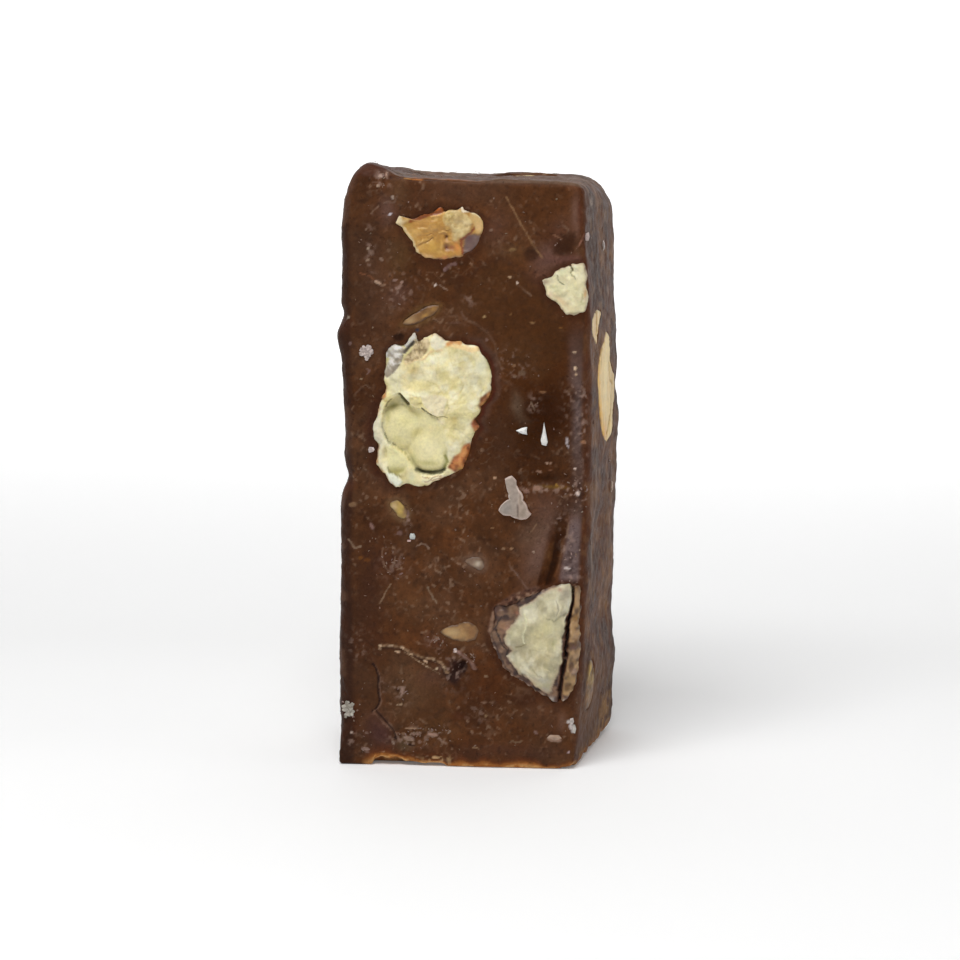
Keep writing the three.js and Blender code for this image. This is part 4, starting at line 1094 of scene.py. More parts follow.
def paint_sides(paint, points, weights, normals_up):
    x, y, z = points.T
    right, top = weights["right"], weights["top"]
    slanted = points + np.stack([0 * z, 0.25 * z, 0 * z], 1)
    streak = noise(slanted, (3.0, 4.2, 3.6), 22, 4)
    hair = noise(slanted @ TURN, 1.3, 45, 3)
    paint.lay((86, 46, 18), 0.94 * right)
    paint.lay((58, 31, 14), 0.7 * right * smooth(0.03, 0.35, streak))
    paint.lay((116, 76, 39), 0.65 * right * smooth(0.03, 0.34, -streak))
    paint.lay((146, 106, 68), 0.36 * right * smooth(0.15, 0.45, hair))
    scrape = bump(y - 0.07 * (z - 20) + 7, 0.5) * smooth(20, 28, z) * (1 - smooth(38, 42, z))
    paint.lay((150, 128, 112), 0.45 * right * scrape)
    # Painted highlight along the rounded corner between the right face and the top, near the front.
    corner_highlight = smooth(68, 71, z) * spot(y, z, -7, 71.5, 3.0, 1.6) * smooth(-0.1, 0.2, hair)
    paint.lay((168, 152, 140), 0.6 * right * corner_highlight)
    paint.lay((50, 29, 16), 0.4 * right * smooth(0.15, 0.45, -hair))
    paint.lay((72, 46, 32), 0.5 * right * (1 - smooth(6, 18, z)))
    paint.lay((84, 46, 26), 0.75 * right * bump(y + 10.2, 1.6) * (0.6 + 0.4 * smooth(30, 45, z)))
    paint.lay((52, 34, 26), 0.7 * right * smooth(7.5, 10.5, y))
    gold = right * bump(z, 1.8) + right * spot(y, z, 6, 4, 4, 3.4)
    paint.lay((142, 102, 50), 0.75 * gold * smooth(-0.2, 0.25, noise(points, 1.1, 23, 2)))
    for face, seed in (("back", 24), ("left", 25)):
        hue = noise(points, 3.2, seed, 3)
        paint.lay((100, 70, 52), 0.5 * weights[face] * smooth(0.1, 0.4, hue))
        paint.lay((66, 35, 16), 0.5 * weights[face] * smooth(0.1, 0.4, -hue))
    # Long light and dark streaks along the top; the light ones are partly painted sheen.
    grain = noise(points, (14, 0.8, 0.8), 26, 2)
    paint.lay((112, 90, 74), 0.7 * top * smooth(0.0, 0.4, grain))
    paint.lay((58, 38, 28), 0.7 * top * smooth(0.0, 0.4, -grain))
    paint.lay((72, 38, 24), 0.85 * smooth(0.05, 0.5, normals_up) * (1 - smooth(-11.0, -9.4, x)))
    # Painted highlight along the front top edge: the orange glow of light through the thin edge.
    rim = bump(y + 9.7, 0.45) * smooth(73.6, 74.6, z)
    paint.lay((150, 82, 36), 0.75 * rim * smooth(-8.5, -7, x) * (1 - smooth(0.5, 2.5, x)))


# ---------------------------------------------------------------- the nuts
CREAM = (238, 228, 188)
SKIN = (120, 58, 22)


# Marks on a cut nut, laid in turn. Each returns how far it lifts the surface.
def lay_patches(paint, u, v, soft, patches):
    rise = np.zeros(len(u))
    for corners, colour, share, height in patches:
        mask = smooth(-soft, soft, inside_patch(u, v, corners))
        paint.lay(colour, share * mask)
        rise += height * mask
    return rise


def lay_spots(paint, u, v, spots):
    rise = np.zeros(len(u))
    for cu, cv, ru, rv, turn, colour, share, height in spots:
        mask = spot(u, v, cu, cv, ru, rv, math.radians(turn))
        paint.lay(colour, share * mask)
        rise += height * mask
    return rise


def lay_lines(paint, u, v, lines):
    rise = np.zeros(len(u))
    for line, reach, colour, share, height in lines:
        mask = smooth(0.2, 0.7, stroke(u, v, line, reach))
        paint.lay(colour, share * mask)
        rise += height * mask
    return rise


# Grains of two tones inside a mask.
def lay_grains(paint, p, size, seed, mask, light, dark, share=0.8):
    grain = noise(p, size, seed, 2)
    paint.lay(light, share * mask * smooth(0.02, 0.35, grain))
    paint.lay(dark, share * mask * smooth(0.02, 0.35, -grain))
    return 0.12 * mask * grain


STEP_LINE = [(-12.7, 47.4), (-10.9, 47.5), (-10.2, 47.9), (-9.3, 48.2), (-8.7, 47.9), (-7.9, 46.9),
    (-7.2, 46.5), (-6.4, 46.3), (-5.4, 45.7), (-4.4, 45.3), (-3.0, 45.4), (-2.1, 45.1)]
CAVITY = [
    (-11.2, 46.2), (-10.3, 47.4), (-9.3, 48.1), (-7.9, 46.8), (-6.3, 46.2), (-4.9, 45.5),
    (-4.0, 44.6), (-3.5, 43.4), (-3.2, 41.5), (-3.1, 39.6), (-3.5, 38.4), (-4.9, 38.0),
    (-6.6, 38.0), (-7.6, 39.1), (-8.0, 39.8), (-9.0, 40.9), (-10.1, 41.5), (-10.9, 42.3),
    (-11.4, 43.7),
]
PETAL = [(-10.9, 41.6), (-10.2, 41.5), (-9.1, 40.8), (-8.4, 40.2), (-8.0, 39.5), (-8.1, 38.8),
    (-8.7, 38.2), (-9.4, 37.8), (-10.2, 37.9), (-10.7, 38.6), (-10.8, 39.8)]
LARGE_PATCHES = [
    ([(-11.2, 53.3), (-10.6, 54.4), (-9.3, 54.3), (-8.6, 54.0), (-8.5, 53.5), (-8.9, 52.9),
     (-9.4, 52.7), (-10.1, 52.6), (-10.7, 52.7)], (196, 190, 178), 1.0, 0.12),
    ([(-10.2, 52.6), (-8.9, 53.0), (-8.7, 52.6), (-9.3, 51.6), (-10.0, 50.8), (-10.7, 50.2),
     (-11.2, 50.5), (-11.0, 51.2), (-10.6, 51.9)], (180, 170, 152), 1.0, 0.08),
    ([(-8.6, 54.3), (-7.9, 55.1), (-7.5, 55.9), (-7.0, 56.0), (-6.6, 55.5), (-7.1, 55.0),
     (-7.6, 54.5), (-8.3, 53.8)], (200, 194, 182), 1.0, 0.15),
    ([(-7.2, 54.9), (-6.5, 55.2), (-5.5, 55.1), (-5.3, 54.4), (-5.5, 53.6), (-6.1, 53.0),
     (-6.8, 52.6), (-7.6, 52.3), (-8.3, 52.0), (-8.6, 52.3), (-8.1, 53.1), (-7.5, 53.8)],
     (190, 168, 126), 0.95, -0.1),
    ([(-5.1, 55.4), (-4.6, 55.9), (-3.9, 55.5), (-3.4, 54.9), (-3.2, 54.4), (-3.7, 54.0),
     (-4.6, 53.8), (-5.1, 54.1), (-5.3, 54.8)], (234, 226, 198), 0.95, 0.12),
    ([(-3.2, 55.3), (-2.3, 55.7), (-1.6, 55.5), (-1.2, 55.1), (-1.1, 54.7), (-1.5, 54.4),
     (-2.3, 54.6), (-3.0, 54.2), (-3.4, 54.5), (-2.8, 54.9)], (206, 138, 62), 0.85, 0.03),
    ([(-7.9, 47.5), (-7.7, 47.8), (-6.4, 47.9), (-6.2, 47.4), (-6.1, 46.6), (-6.5, 46.3),
     (-7.4, 46.6), (-7.9, 46.9)], (224, 210, 150), 0.9, -0.1),
    ([(-6.3, 47.8), (-5.1, 48.1), (-3.5, 47.9), (-3.1, 47.5), (-3.3, 46.6), (-3.6, 45.5),
     (-4.6, 45.3), (-5.3, 45.8), (-5.9, 46.5), (-6.3, 47.1)], (230, 218, 182), 0.95, 0.1),
]
LARGE_RIMS = [
    ([(0.7, 46.8), (1.0, 47.7), (2.2, 48.6), (3.0, 48.0), (2.8, 46.8), (1.9, 46.2), (1.1, 46.1)],
     (150, 86, 30), 0.95, -0.12),
    ([(-0.2, 44.4), (0.3, 45.2), (1.4, 44.9), (1.6, 43.8), (0.3, 43.4)], (160, 78, 20), 0.95, -0.1),
    ([(-1.1, 41.7), (-0.3, 42.0), (0.2, 40.9), (-0.4, 39.5), (-0.8, 38.0), (-2.2, 38.2),
     (-3.1, 38.9), (-2.8, 39.4), (-2.4, 40.2), (-1.5, 40.8)], (182, 102, 42), 0.95, -0.1),
    ([(-11.8, 49.2), (-10.8, 49.1), (-10.8, 47.8), (-11.7, 47.0), (-12.2, 46.7)], (140, 66, 22),
     0.9, -0.05),
    ([(-13.0, 46.1), (-11.8, 47.4), (-11.7, 46.2), (-12.4, 44.5), (-12.9, 44.2)], (180, 118, 72),
     0.85, -0.05),
    ([(-12.7, 41.7), (-11.8, 41.7), (-11.9, 39.3), (-12.6, 39.0)], (160, 108, 66), 0.85, -0.05),
    ([(-12.3, 39.0), (-11.7, 38.8), (-10.7, 37.5), (-11.1, 36.8)], (184, 132, 56), 0.85, -0.05),
]
LARGE_SPOTS = [
    (-7.5, 51.2, 0.95, 0.8, -30, (222, 200, 134), 0.85, -0.04),
        (-8.5, 49.9, 0.5, 0.7, 0, (226, 208, 150), 0.6, 0.0),
    (-4.8, 52.2, 0.35, 0.28, 0, (246, 240, 216), 0.9, 0.06),
        (-2.8, 53.0, 1.3, 0.5, 0, (232, 222, 176), 0.7, 0.05),
    (1.1, 51.3, 0.8, 1.3, 0, (234, 230, 196), 0.8, 0.05),
        (-0.5, 51.3, 0.7, 0.9, 0, (228, 220, 186), 0.7, -0.05),
    (0.2, 52.0, 0.25, 0.45, 0, (222, 208, 134), 0.6, -0.03),
        (-3.7, 51.6, 0.7, 0.4, 20, (234, 220, 160), 0.7, 0.05),
    (-5.1, 50.2, 0.5, 0.5, 0, (242, 232, 184), 0.7, 0.06),
        (-6.0, 51.1, 0.4, 0.9, 0, (232, 218, 166), 0.6, 0.04),
    (-2.3, 49.7, 1.2, 0.6, 0, (228, 214, 154), 0.7, 0.0),
        (-6.9, 49.0, 1.1, 0.6, 10, (232, 218, 158), 0.8, 0.08),
    (-4.4, 48.7, 0.6, 0.3, 0, (242, 232, 186), 0.6, 0.05),
        (-1.4, 49.4, 0.3, 0.5, 0, (216, 200, 130), 0.5, -0.04),
    (-0.7, 48.3, 0.5, 0.5, 0, (240, 232, 190), 0.6, 0.04),
        (-1.2, 46.6, 0.8, 1.2, 0, (236, 226, 172), 0.7, 0.04),
    (-2.3, 44.9, 0.5, 0.45, 0, (214, 194, 124), 0.9, -0.14),
        (-4.2, 44.6, 0.65, 0.36, 0, (240, 230, 196), 0.95, 0.12),
    (-1.0, 44.7, 0.6, 0.6, 0, (238, 230, 188), 0.7, 0.05),
        (-1.2, 43.3, 0.9, 0.4, -10, (224, 216, 178), 0.7, -0.05),
    (0.4, 48.9, 0.35, 0.35, 0, (244, 238, 200), 0.7, 0.05),
        (-10.0, 49.4, 0.7, 0.9, 0, (214, 206, 166), 0.8, 0.0),
    (-9.7, 48.5, 0.6, 0.3, -30, (204, 196, 150), 0.7, 0.0),
        (-1.9, 41.4, 0.6, 0.8, 0, (240, 232, 196), 0.7, 0.05),
]
LARGE_CREASES = [
    ([(-3.5, 54.4), (-2.3, 54.4), (-1.2, 54.1), (-0.1, 53.7), (0.6, 53.9)], 0.34, (240, 206, 146),
     0.8, 0.02),
    ([(-8.3, 52.0), (-7.2, 52.4), (-6.0, 52.7), (-5.1, 53.6), (-3.9, 53.8)], 0.16, (236, 208, 156),
     0.85, 0.08),
    ([(-9.2, 50.6), (-9.4, 49.4), (-9.2, 48.5), (-8.7, 48.0)], 0.12, (232, 224, 180), 0.7, 0.08),
    ([(-2.9, 53.3), (-2.5, 51.8), (-0.9, 52.2)], 0.1, (216, 200, 142), 0.5, -0.04),
    ([(-5.7, 49.8), (-4.6, 49.4), (-3.7, 48.3)], 0.1, (214, 198, 140), 0.5, -0.05),
    ([(-1.9, 50.3), (-1.0, 49.4), (-1.5, 48.3)], 0.1, (212, 196, 136), 0.5, -0.05),
    ([(-3.2, 47.5), (-2.9, 46.3), (-3.3, 45.4)], 0.1, (212, 198, 144), 0.6, -0.06),
    ([(-2.1, 43.8), (-1.0, 43.1), (-0.3, 42.4)], 0.1, (206, 196, 152), 0.6, -0.05),
    ([(1.4, 48.9), (1.0, 48.2), (1.2, 47.6)], 0.1, (196, 184, 126), 0.6, -0.05),
]
CAVITY_SPOTS = [
        (-10.0, 46.5, 0.75, 0.5, 30, (152, 144, 82), 0.85, -0.1),
            (-10.7, 45.1, 0.35, 0.8, 0, (178, 170, 108), 0.7, 0.0),
        (-8.6, 44.6, 0.9, 0.7, 0, (230, 220, 158), 0.8, 0.05),
            (-7.0, 43.3, 1.0, 0.5, 35, (198, 184, 114), 0.75, -0.06),
        (-7.0, 45.6, 1.0, 0.35, -20, (206, 194, 128), 0.7, 0.0),
            (-9.4, 42.5, 0.8, 0.35, -20, (222, 212, 150), 0.6, 0.04),
        (-4.9, 43.8, 0.9, 0.5, 0, (226, 212, 156), 0.7, 0.05),
            (-5.2, 41.4, 1.5, 1.3, 0, (240, 230, 182), 0.9, 0.0),
        (-5.7, 39.4, 1.5, 0.35, -5, (196, 188, 122), 0.8, 0.0),
            (-7.4, 39.9, 0.4, 0.7, 0, (208, 202, 142), 0.6, 0.0),
]
# Lines on the large nut; the first three, dark olive along the step, are painted shadow under its
# overhang.
LARGE_LINES = [
    ([(-9.1, 48.1), (-8.6, 47.5), (-8.1, 46.9)], 0.24, (96, 86, 34), 0.95, -0.35),
    ([(-8.9, 48.0), (-8.5, 47.6), (-8.0, 47.1)], 0.13, (44, 38, 10), 0.95, -0.2),
    ([(-6.3, 46.4), (-5.8, 46.0), (-5.1, 45.6)], 0.11, (74, 60, 16), 0.9, -0.15),
    ([(-5.1, 45.6), (-4.4, 45.3), (-3.6, 45.4), (-3.1, 45.2)], 0.07, (150, 134, 84), 0.8, -0.06),
    ([(-11.3, 44.5), (-11.4, 43.9), (-11.0, 42.9), (-10.6, 42.0), (-9.9, 41.6)], 0.1,
     (126, 120, 78), 0.8, -0.12),
    ([(-9.9, 41.6), (-9.0, 41.0), (-8.3, 40.3), (-7.9, 39.6)], 0.07, (176, 166, 106), 0.7, -0.06),
    ([(-10.9, 46.5), (-10.7, 47.0), (-10.2, 47.5)], 0.09, (120, 108, 70), 0.75, -0.08),
    ([(-8.5, 53.4), (-7.9, 54.1), (-7.3, 54.7)], 0.22, (74, 62, 54), 0.95, -0.25),
    ([(-8.7, 53.1), (-8.9, 52.4), (-9.3, 51.6), (-10.0, 50.8)], 0.09, (128, 118, 104), 0.7, -0.1),
    ([(-6.2, 37.6), (-5.2, 37.5), (-4.0, 37.8)], 0.09, (170, 134, 92), 0.8, -0.06),
    ([(-6.0, 37.0), (-4.9, 37.3), (-3.5, 37.6)], 0.09, (182, 142, 108), 0.7, -0.04),
    ([(-8.4, 36.4), (-7.4, 36.2), (-6.3, 36.4)], 0.1, (226, 190, 150), 0.7, 0.0),
]
CAVITY_FOOT = [(-7.1, 38.5), (-6.2, 38.2), (-5.0, 38.1), (-3.9, 38.3), (-3.5, 38.7)]
CAVITY_SIDE = [(-3.4, 40.4), (-3.1, 39.7), (-3.5, 38.9)]
PETAL_FOOT = [(-10.7, 38.9), (-10.6, 38.3), (-9.9, 37.9), (-9.2, 37.7)]
PALE_FLAKE = [
    (-11.1, 37.9), (-10.6, 38.2), (-9.9, 38.0), (-9.1, 37.5), (-8.7, 36.9), (-9.1, 36.5),
    (-9.6, 36.1), (-10.2, 36.2), (-10.8, 36.9),
]


def nut_large(u, v, p, edge):
    wu, wv = wander(u, v, p, 0.12, 0.7, 40)
    crumb = 0.12 * noise(p, 1.4, 42, 2) + 0.11 * noise(p, 0.55, 43, 2)
    creases = 1 - smooth(0.0, 0.07, np.abs(noise(p, 1.25, 41, 2)))
    line_u, line_v = zip(*STEP_LINE)
    over = v - np.interp(u, line_u, line_v) - 0.06 * noise(p, 0.5, 44)
    upper = smooth(-0.06, 0.1, over)
    cavity = smooth(-0.15, 0.25, inside_patch(wu, wv, CAVITY)) * (1 - upper)
    petal = smooth(-0.05, 0.15, inside_patch(wu, wv, PETAL))
    lobe = 0.1 - 0.5 * np.hypot((u + 8.8) / 3.2, (v - 43.9) / 2.6) ** 3
    lobe -= 0.45 * smooth(-1.3, 0.0, over) * (1 - smooth(-7.4, -5.6, u))
    fall_u = np.minimum(u - -5.3, 0) / 2.5
    fall_v = np.minimum(v - 40.7, 0) / 2.45
    knob = 0.34 - 0.6 * np.hypot(fall_u, fall_v) ** 3
    knob -= 0.25 * smooth(0.6, 2.6, v - 40.7) * (1 - smooth(-6.6, -5.4, u))
    hollow = np.maximum(np.maximum(lobe, knob), -0.6)
    height = 0.34 + crumb - 0.07 * creases
    height = mix(height, hollow + 0.3 * crumb, cavity)
    height = mix(height, 0.2 + 0.16 * (v - 39.0) + 0.2 * crumb, petal)
    height += upper * 0.28 * bump(over, 1.6) * (1 - smooth(-4.6, -2.6, u))
    height -= 0.3 * (1 - smooth(0.0, 1.1, edge))

    paint = Paint(len(u), (238, 226, 176))
    cloud = noise(p, 1.2, 46, 3)
    paint.lay((222, 208, 144), 0.7 * smooth(0.0, 0.35, cloud))
    paint.lay((242, 236, 202), 0.8 * smooth(0.0, 0.35, -cloud))
    paint.lay((214, 200, 140), 0.35 * creases)
    # Facets are raised and painted lighter where they rise: painted shading.
    facets = noise(p @ TURN, 1.9, 48, 1)
    paint.shade(1 + 0.22 * facets)
    height += 0.3 * facets * (1 - cavity) + lay_spots(paint, wu, wv, LARGE_SPOTS)
    height += lay_lines(paint, wu, wv, LARGE_CREASES)
    # Painted light and shade in the hollow: pale bulges, olive under its overhang, dark at its
    # foot.
    paint.lay((230, 220, 166), 0.9 * cavity)
    height += cavity * lay_spots(paint, wu, wv, CAVITY_SPOTS)
    cavity_rim_shade = cavity * smooth(-0.9, 0.1, -inside_patch(u, v, CAVITY)) * (1 - smooth(40.6, 41.6, v))
    paint.lay((136, 128, 70), 0.75 * cavity_rim_shade * smooth(-8.6, -7.4, u))
    paint.lay((88, 86, 52), 0.95 * smooth(0.25, 0.7, stroke(u, v, CAVITY_FOOT, 0.26)))
    paint.lay((136, 134, 62), 0.8 * smooth(0.25, 0.7, stroke(u, v, CAVITY_SIDE, 0.2)))
    height -= 0.3 * stroke(u, v, CAVITY_FOOT, 0.3)
    paint.lay((234, 226, 172), 0.95 * petal)
    # The petal is painted darker olive towards its foot, with a dark line along the foot: painted
    # shade and shadow.
    paint.lay((176, 166, 90), 0.85 * petal * smooth(0.3, -0.9, v - 39.0))
    paint.lay((120, 112, 54), 0.8 * smooth(0.3, 0.8, stroke(wu, wv, PETAL_FOOT, 0.16)))
    paint.lay((224, 222, 184), 0.8 * spot(wu, wv, -7.7, 37.5, 0.9, 0.55, -30))
    height += lay_patches(paint, wu, wv, 0.12, LARGE_PATCHES)
    height += lay_lines(paint, u, v, LARGE_LINES)
    plates = smooth(-0.1, 0.1, inside_patch(wu, wv, LARGE_PATCHES[0][0]))
    plates += smooth(-0.1, 0.1, inside_patch(wu, wv, LARGE_PATCHES[1][0]))
    height += lay_grains(paint, p, 0.5, 45, np.clip(plates, 0, 1), (232, 228, 222), (150, 138, 120))
    beige = smooth(-0.1, 0.1, inside_patch(wu, wv, LARGE_PATCHES[3][0]))
    height += lay_grains(paint, p, 0.3, 47, beige, (218, 198, 158), (142, 118, 78))
    paint.lay((150, 70, 20), 0.85 * spot(wu, wv, -2.6, 54.9, 0.3, 0.25))
    left_rim = (1 - smooth(-11.7, -10.9, wu)) * (1 - smooth(46.4, 47.4, wv))
    paint.lay((224, 218, 190), 0.7 * left_rim * smooth(36.6, 37.6, wv))
    height += lay_patches(paint, wu, wv, 0.2, LARGE_RIMS)
    rims = np.max([inside_patch(wu, wv, corners) for corners, *_ in LARGE_RIMS], axis=0)
    rim_grains = smooth(-0.1, 0.2, rims)
    height += lay_grains(paint, p, 0.5, 50, rim_grains, (206, 146, 84), (104, 52, 18), 0.7)
    paint.lay((204, 156, 76), 0.8 * spot(wu, wv, -1.5, 38.7, 0.45, 0.2))
    flake = smooth(0.0, 0.12, inside_patch(u, v, PALE_FLAKE))
    paint.lay((234, 236, 214), 0.97 * flake)
    height = mix(height, 0.5, flake)
    skin = edge + 0.22 * noise(p, 0.5, 49, 2)
    paint.lay((196, 160, 112), 0.6 * (1 - smooth(0.1, 0.35, skin)))
    paint.lay((120, 62, 26), 0.8 * (1 - smooth(0.0, 0.14, skin)))
    return height, paint, 0.62


TOP_PATCHES = [
    ([(-7.7, 70.1), (-6.9, 70.5), (-6.1, 70.8), (-5.6, 70.8), (-4.9, 71.2), (-4.4, 71.5),
     (-3.9, 71.8), (-3.3, 71.6), (-3.2, 71.2), (-3.6, 70.9), (-4.4, 70.7), (-5.2, 70.4),
     (-6.1, 70.1), (-6.9, 70.0)], (132, 68, 14), 0.95, -0.05),
    ([(-9.5, 70.6), (-9.1, 70.7), (-8.8, 70.2), (-8.5, 69.8), (-8.1, 69.9), (-8.6, 69.5),
     (-8.7, 69.1), (-9.1, 69.2), (-9.5, 69.5)], (230, 212, 172), 0.95, 0.1),
    ([(-3.6, 70.5), (-3.0, 71.1), (-2.2, 71.3), (-1.4, 71.0), (-0.6, 70.6), (-0.1, 70.0),
     (-0.1, 69.5), (-0.4, 68.7), (-0.8, 68.1), (-1.4, 67.8), (-1.9, 67.3), (-2.4, 67.5),
     (-2.5, 68.0), (-2.4, 68.5), (-2.7, 69.0), (-3.3, 69.4), (-3.6, 69.9)], (206, 180, 124), 0.95,
     0.16),
    ([(-0.1, 71.1), (0.9, 70.7), (1.5, 69.9), (1.6, 69.1), (1.3, 68.4), (0.6, 68.3), (0.3, 69.1),
     (0.0, 69.7), (-0.3, 70.5)], (206, 172, 112), 0.95, 0.05),
    ([(-1.0, 67.7), (-0.4, 68.1), (0.3, 68.2), (0.9, 68.1), (1.1, 67.4), (0.8, 66.5), (0.2, 65.9),
     (-0.4, 65.6), (-1.0, 65.3), (-1.1, 66.0), (-1.1, 66.8)], (110, 86, 82), 0.97, -0.2),
]
TOP_SPOTS = [
    (-8.2, 69.4, 0.85, 0.36, 10, (164, 128, 56), 0.9, -0.05),
        (-6.3, 69.5, 0.9, 0.4, 5, (184, 134, 68), 0.8, 0.0),
    (-4.9, 69.0, 0.6, 0.6, 0, (202, 156, 84), 0.8, 0.04),
        (-4.5, 70.1, 0.35, 0.25, 0, (216, 174, 98), 0.9, 0.06),
    (-7.1, 68.4, 0.7, 0.35, -20, (206, 162, 92), 0.8, 0.04),
        (-4.9, 66.5, 0.9, 0.6, 0, (198, 156, 72), 0.85, 0.05),
    (-6.2, 67.7, 0.5, 0.3, 0, (176, 128, 58), 0.7, -0.06),
        (-4.2, 71.2, 0.3, 0.16, 20, (196, 96, 14), 0.95, 0.03),
    (-5.7, 70.4, 0.4, 0.16, 15, (176, 108, 22), 0.9, 0.02),
        (-6.7, 70.3, 0.35, 0.16, 15, (140, 98, 8), 0.9, 0.0),
    (-5.2, 71.0, 0.3, 0.14, 20, (184, 116, 84), 0.8, 0.05),
        (-0.8, 69.7, 0.42, 0.36, 0, (226, 206, 152), 0.9, 0.1),
    (-1.8, 68.7, 0.4, 0.3, 0, (222, 202, 144), 0.85, 0.08),
        (-1.6, 69.8, 0.5, 0.3, 0, (184, 162, 122), 0.8, -0.05),
    (-2.9, 70.3, 0.5, 0.6, 0, (200, 172, 96), 0.7, 0.0),
        (-3.0, 68.9, 0.35, 0.3, 0, (206, 166, 92), 0.8, 0.04),
    (-1.9, 66.6, 0.35, 0.7, 0, (206, 136, 66), 0.9, 0.0),
        (-3.0, 67.3, 0.45, 0.13, 0, (218, 172, 116), 0.85, 0.05),
    (-3.8, 66.7, 0.16, 0.55, 0, (222, 176, 96), 0.85, 0.06),
        (-0.3, 67.7, 0.35, 0.4, 0, (96, 62, 66), 0.8, 0.0),
    (0.4, 67.6, 0.2, 0.5, 0, (130, 106, 98), 0.7, 0.03),
        (0.9, 69.1, 0.3, 0.4, 0, (214, 176, 124), 0.7, 0.0),
    (-5.6, 65.5, 0.8, 0.2, -12, (214, 174, 122), 0.8, 0.03),
        (-3.4, 65.3, 0.4, 0.3, 0, (196, 126, 76), 0.8, 0.0),
    (-2.1, 65.2, 0.5, 0.2, 20, (198, 160, 118), 0.85, 0.05),
        (-4.1, 65.1, 0.3, 0.18, 0, (132, 72, 40), 0.9, -0.05),
    (-3.2, 67.9, 0.24, 0.22, 0, (112, 62, 10), 1.0, -0.4),
        (-3.2, 66.6, 0.4, 0.36, 0, (112, 52, 36), 1.0, -0.3),
    (-2.5, 66.5, 0.35, 0.3, 0, (152, 82, 52), 0.8, -0.1),
]
TOP_LINES = [
    ([(-7.7, 69.8), (-6.9, 70.1), (-5.9, 70.4), (-5.2, 70.7), (-4.2, 70.9), (-3.6, 71.1)], 0.3,
     (138, 70, 12), 0.95, -0.05),
    ([(-8.7, 69.1), (-7.9, 68.0), (-7.4, 67.2), (-7.2, 66.5), (-6.7, 65.8)], 0.2, (220, 196, 146),
     0.85, 0.05),
    ([(-3.1, 70.9), (-3.9, 70.6), (-4.5, 70.5), (-5.1, 70.3)], 0.1, (224, 174, 104), 0.85, 0.06),
    ([(-1.3, 71.7), (-1.2, 71.2), (-1.0, 71.0), (-0.5, 71.1)], 0.16, (240, 222, 192), 0.95, 0.1),
    ([(0.1, 70.8), (0.6, 70.5), (1.0, 70.3)], 0.12, (230, 214, 172), 0.85, 0.06),
    ([(0.2, 69.0), (-0.1, 68.5), (-1.0, 67.8), (-1.3, 67.5), (-1.4, 66.9), (-1.3, 66.4),
     (-1.2, 65.8)], 0.17, (136, 60, 34), 0.9, -0.12),
    ([(-6.7, 66.8), (-5.7, 67.2), (-4.8, 67.7)], 0.1, (156, 108, 42), 0.8, -0.1),
    ([(-6.7, 68.9), (-6.2, 68.9), (-5.7, 68.8)], 0.09, (216, 178, 112), 0.7, 0.06),
    ([(-5.6, 68.0), (-5.1, 68.2), (-4.5, 68.0)], 0.09, (166, 120, 56), 0.7, -0.06),
    ([(-6.7, 67.3), (-6.3, 67.2), (-6.1, 67.5)], 0.09, (218, 176, 108), 0.7, 0.06),
    ([(-3.4, 68.9), (-3.2, 68.6), (-2.7, 68.8)], 0.08, (164, 118, 48), 0.7, -0.08),
    ([(-4.1, 68.4), (-3.6, 68.5), (-3.3, 68.4)], 0.1, (220, 176, 104), 0.8, 0.06),
    ([(-1.0, 66.1), (-0.4, 65.9), (0.3, 66.2)], 0.1, (138, 118, 108), 0.6, 0.03),
]


def nut_top(u, v, p, edge):
    wu, wv = wander(u, v, p, 0.12, 0.5, 50)
    height = 0.1 + 0.12 * noise(p, (1.6, 1.6, 0.9), 51, 2) + 0.08 * noise(p, 0.4, 52, 2)
    paint = Paint(len(u), (186, 138, 64))
    rim = edge + 0.2 * noise(p, 0.5, 57, 2)
    cloud = noise(p, (1.3, 1.3, 0.7), 55, 3)
    paint.lay((210, 168, 94), 0.6 * smooth(0.0, 0.35, cloud))
    paint.lay((172, 124, 58), 0.6 * smooth(0.0, 0.35, -cloud))
    paint.lay((140, 96, 60), 0.75 * (1 - smooth(0.1, 0.55, rim)) * smooth(-8.6, -7.4, u))
    height += lay_patches(paint, wu, wv, 0.22, TOP_PATCHES)
    height += lay_spots(paint, wu, wv, TOP_SPOTS)
    height += lay_lines(paint, wu, wv, TOP_LINES)
    lump = smooth(-0.1, 0.1, inside_patch(wu, wv, TOP_PATCHES[2][0]))
    height += lay_grains(paint, p, 0.4, 53, lump, (224, 202, 150), (182, 150, 92), 0.6)
    paint.lay((96, 60, 38), 0.85 * (1 - smooth(0.0, 0.18, rim)))
    return height, paint, 0.45


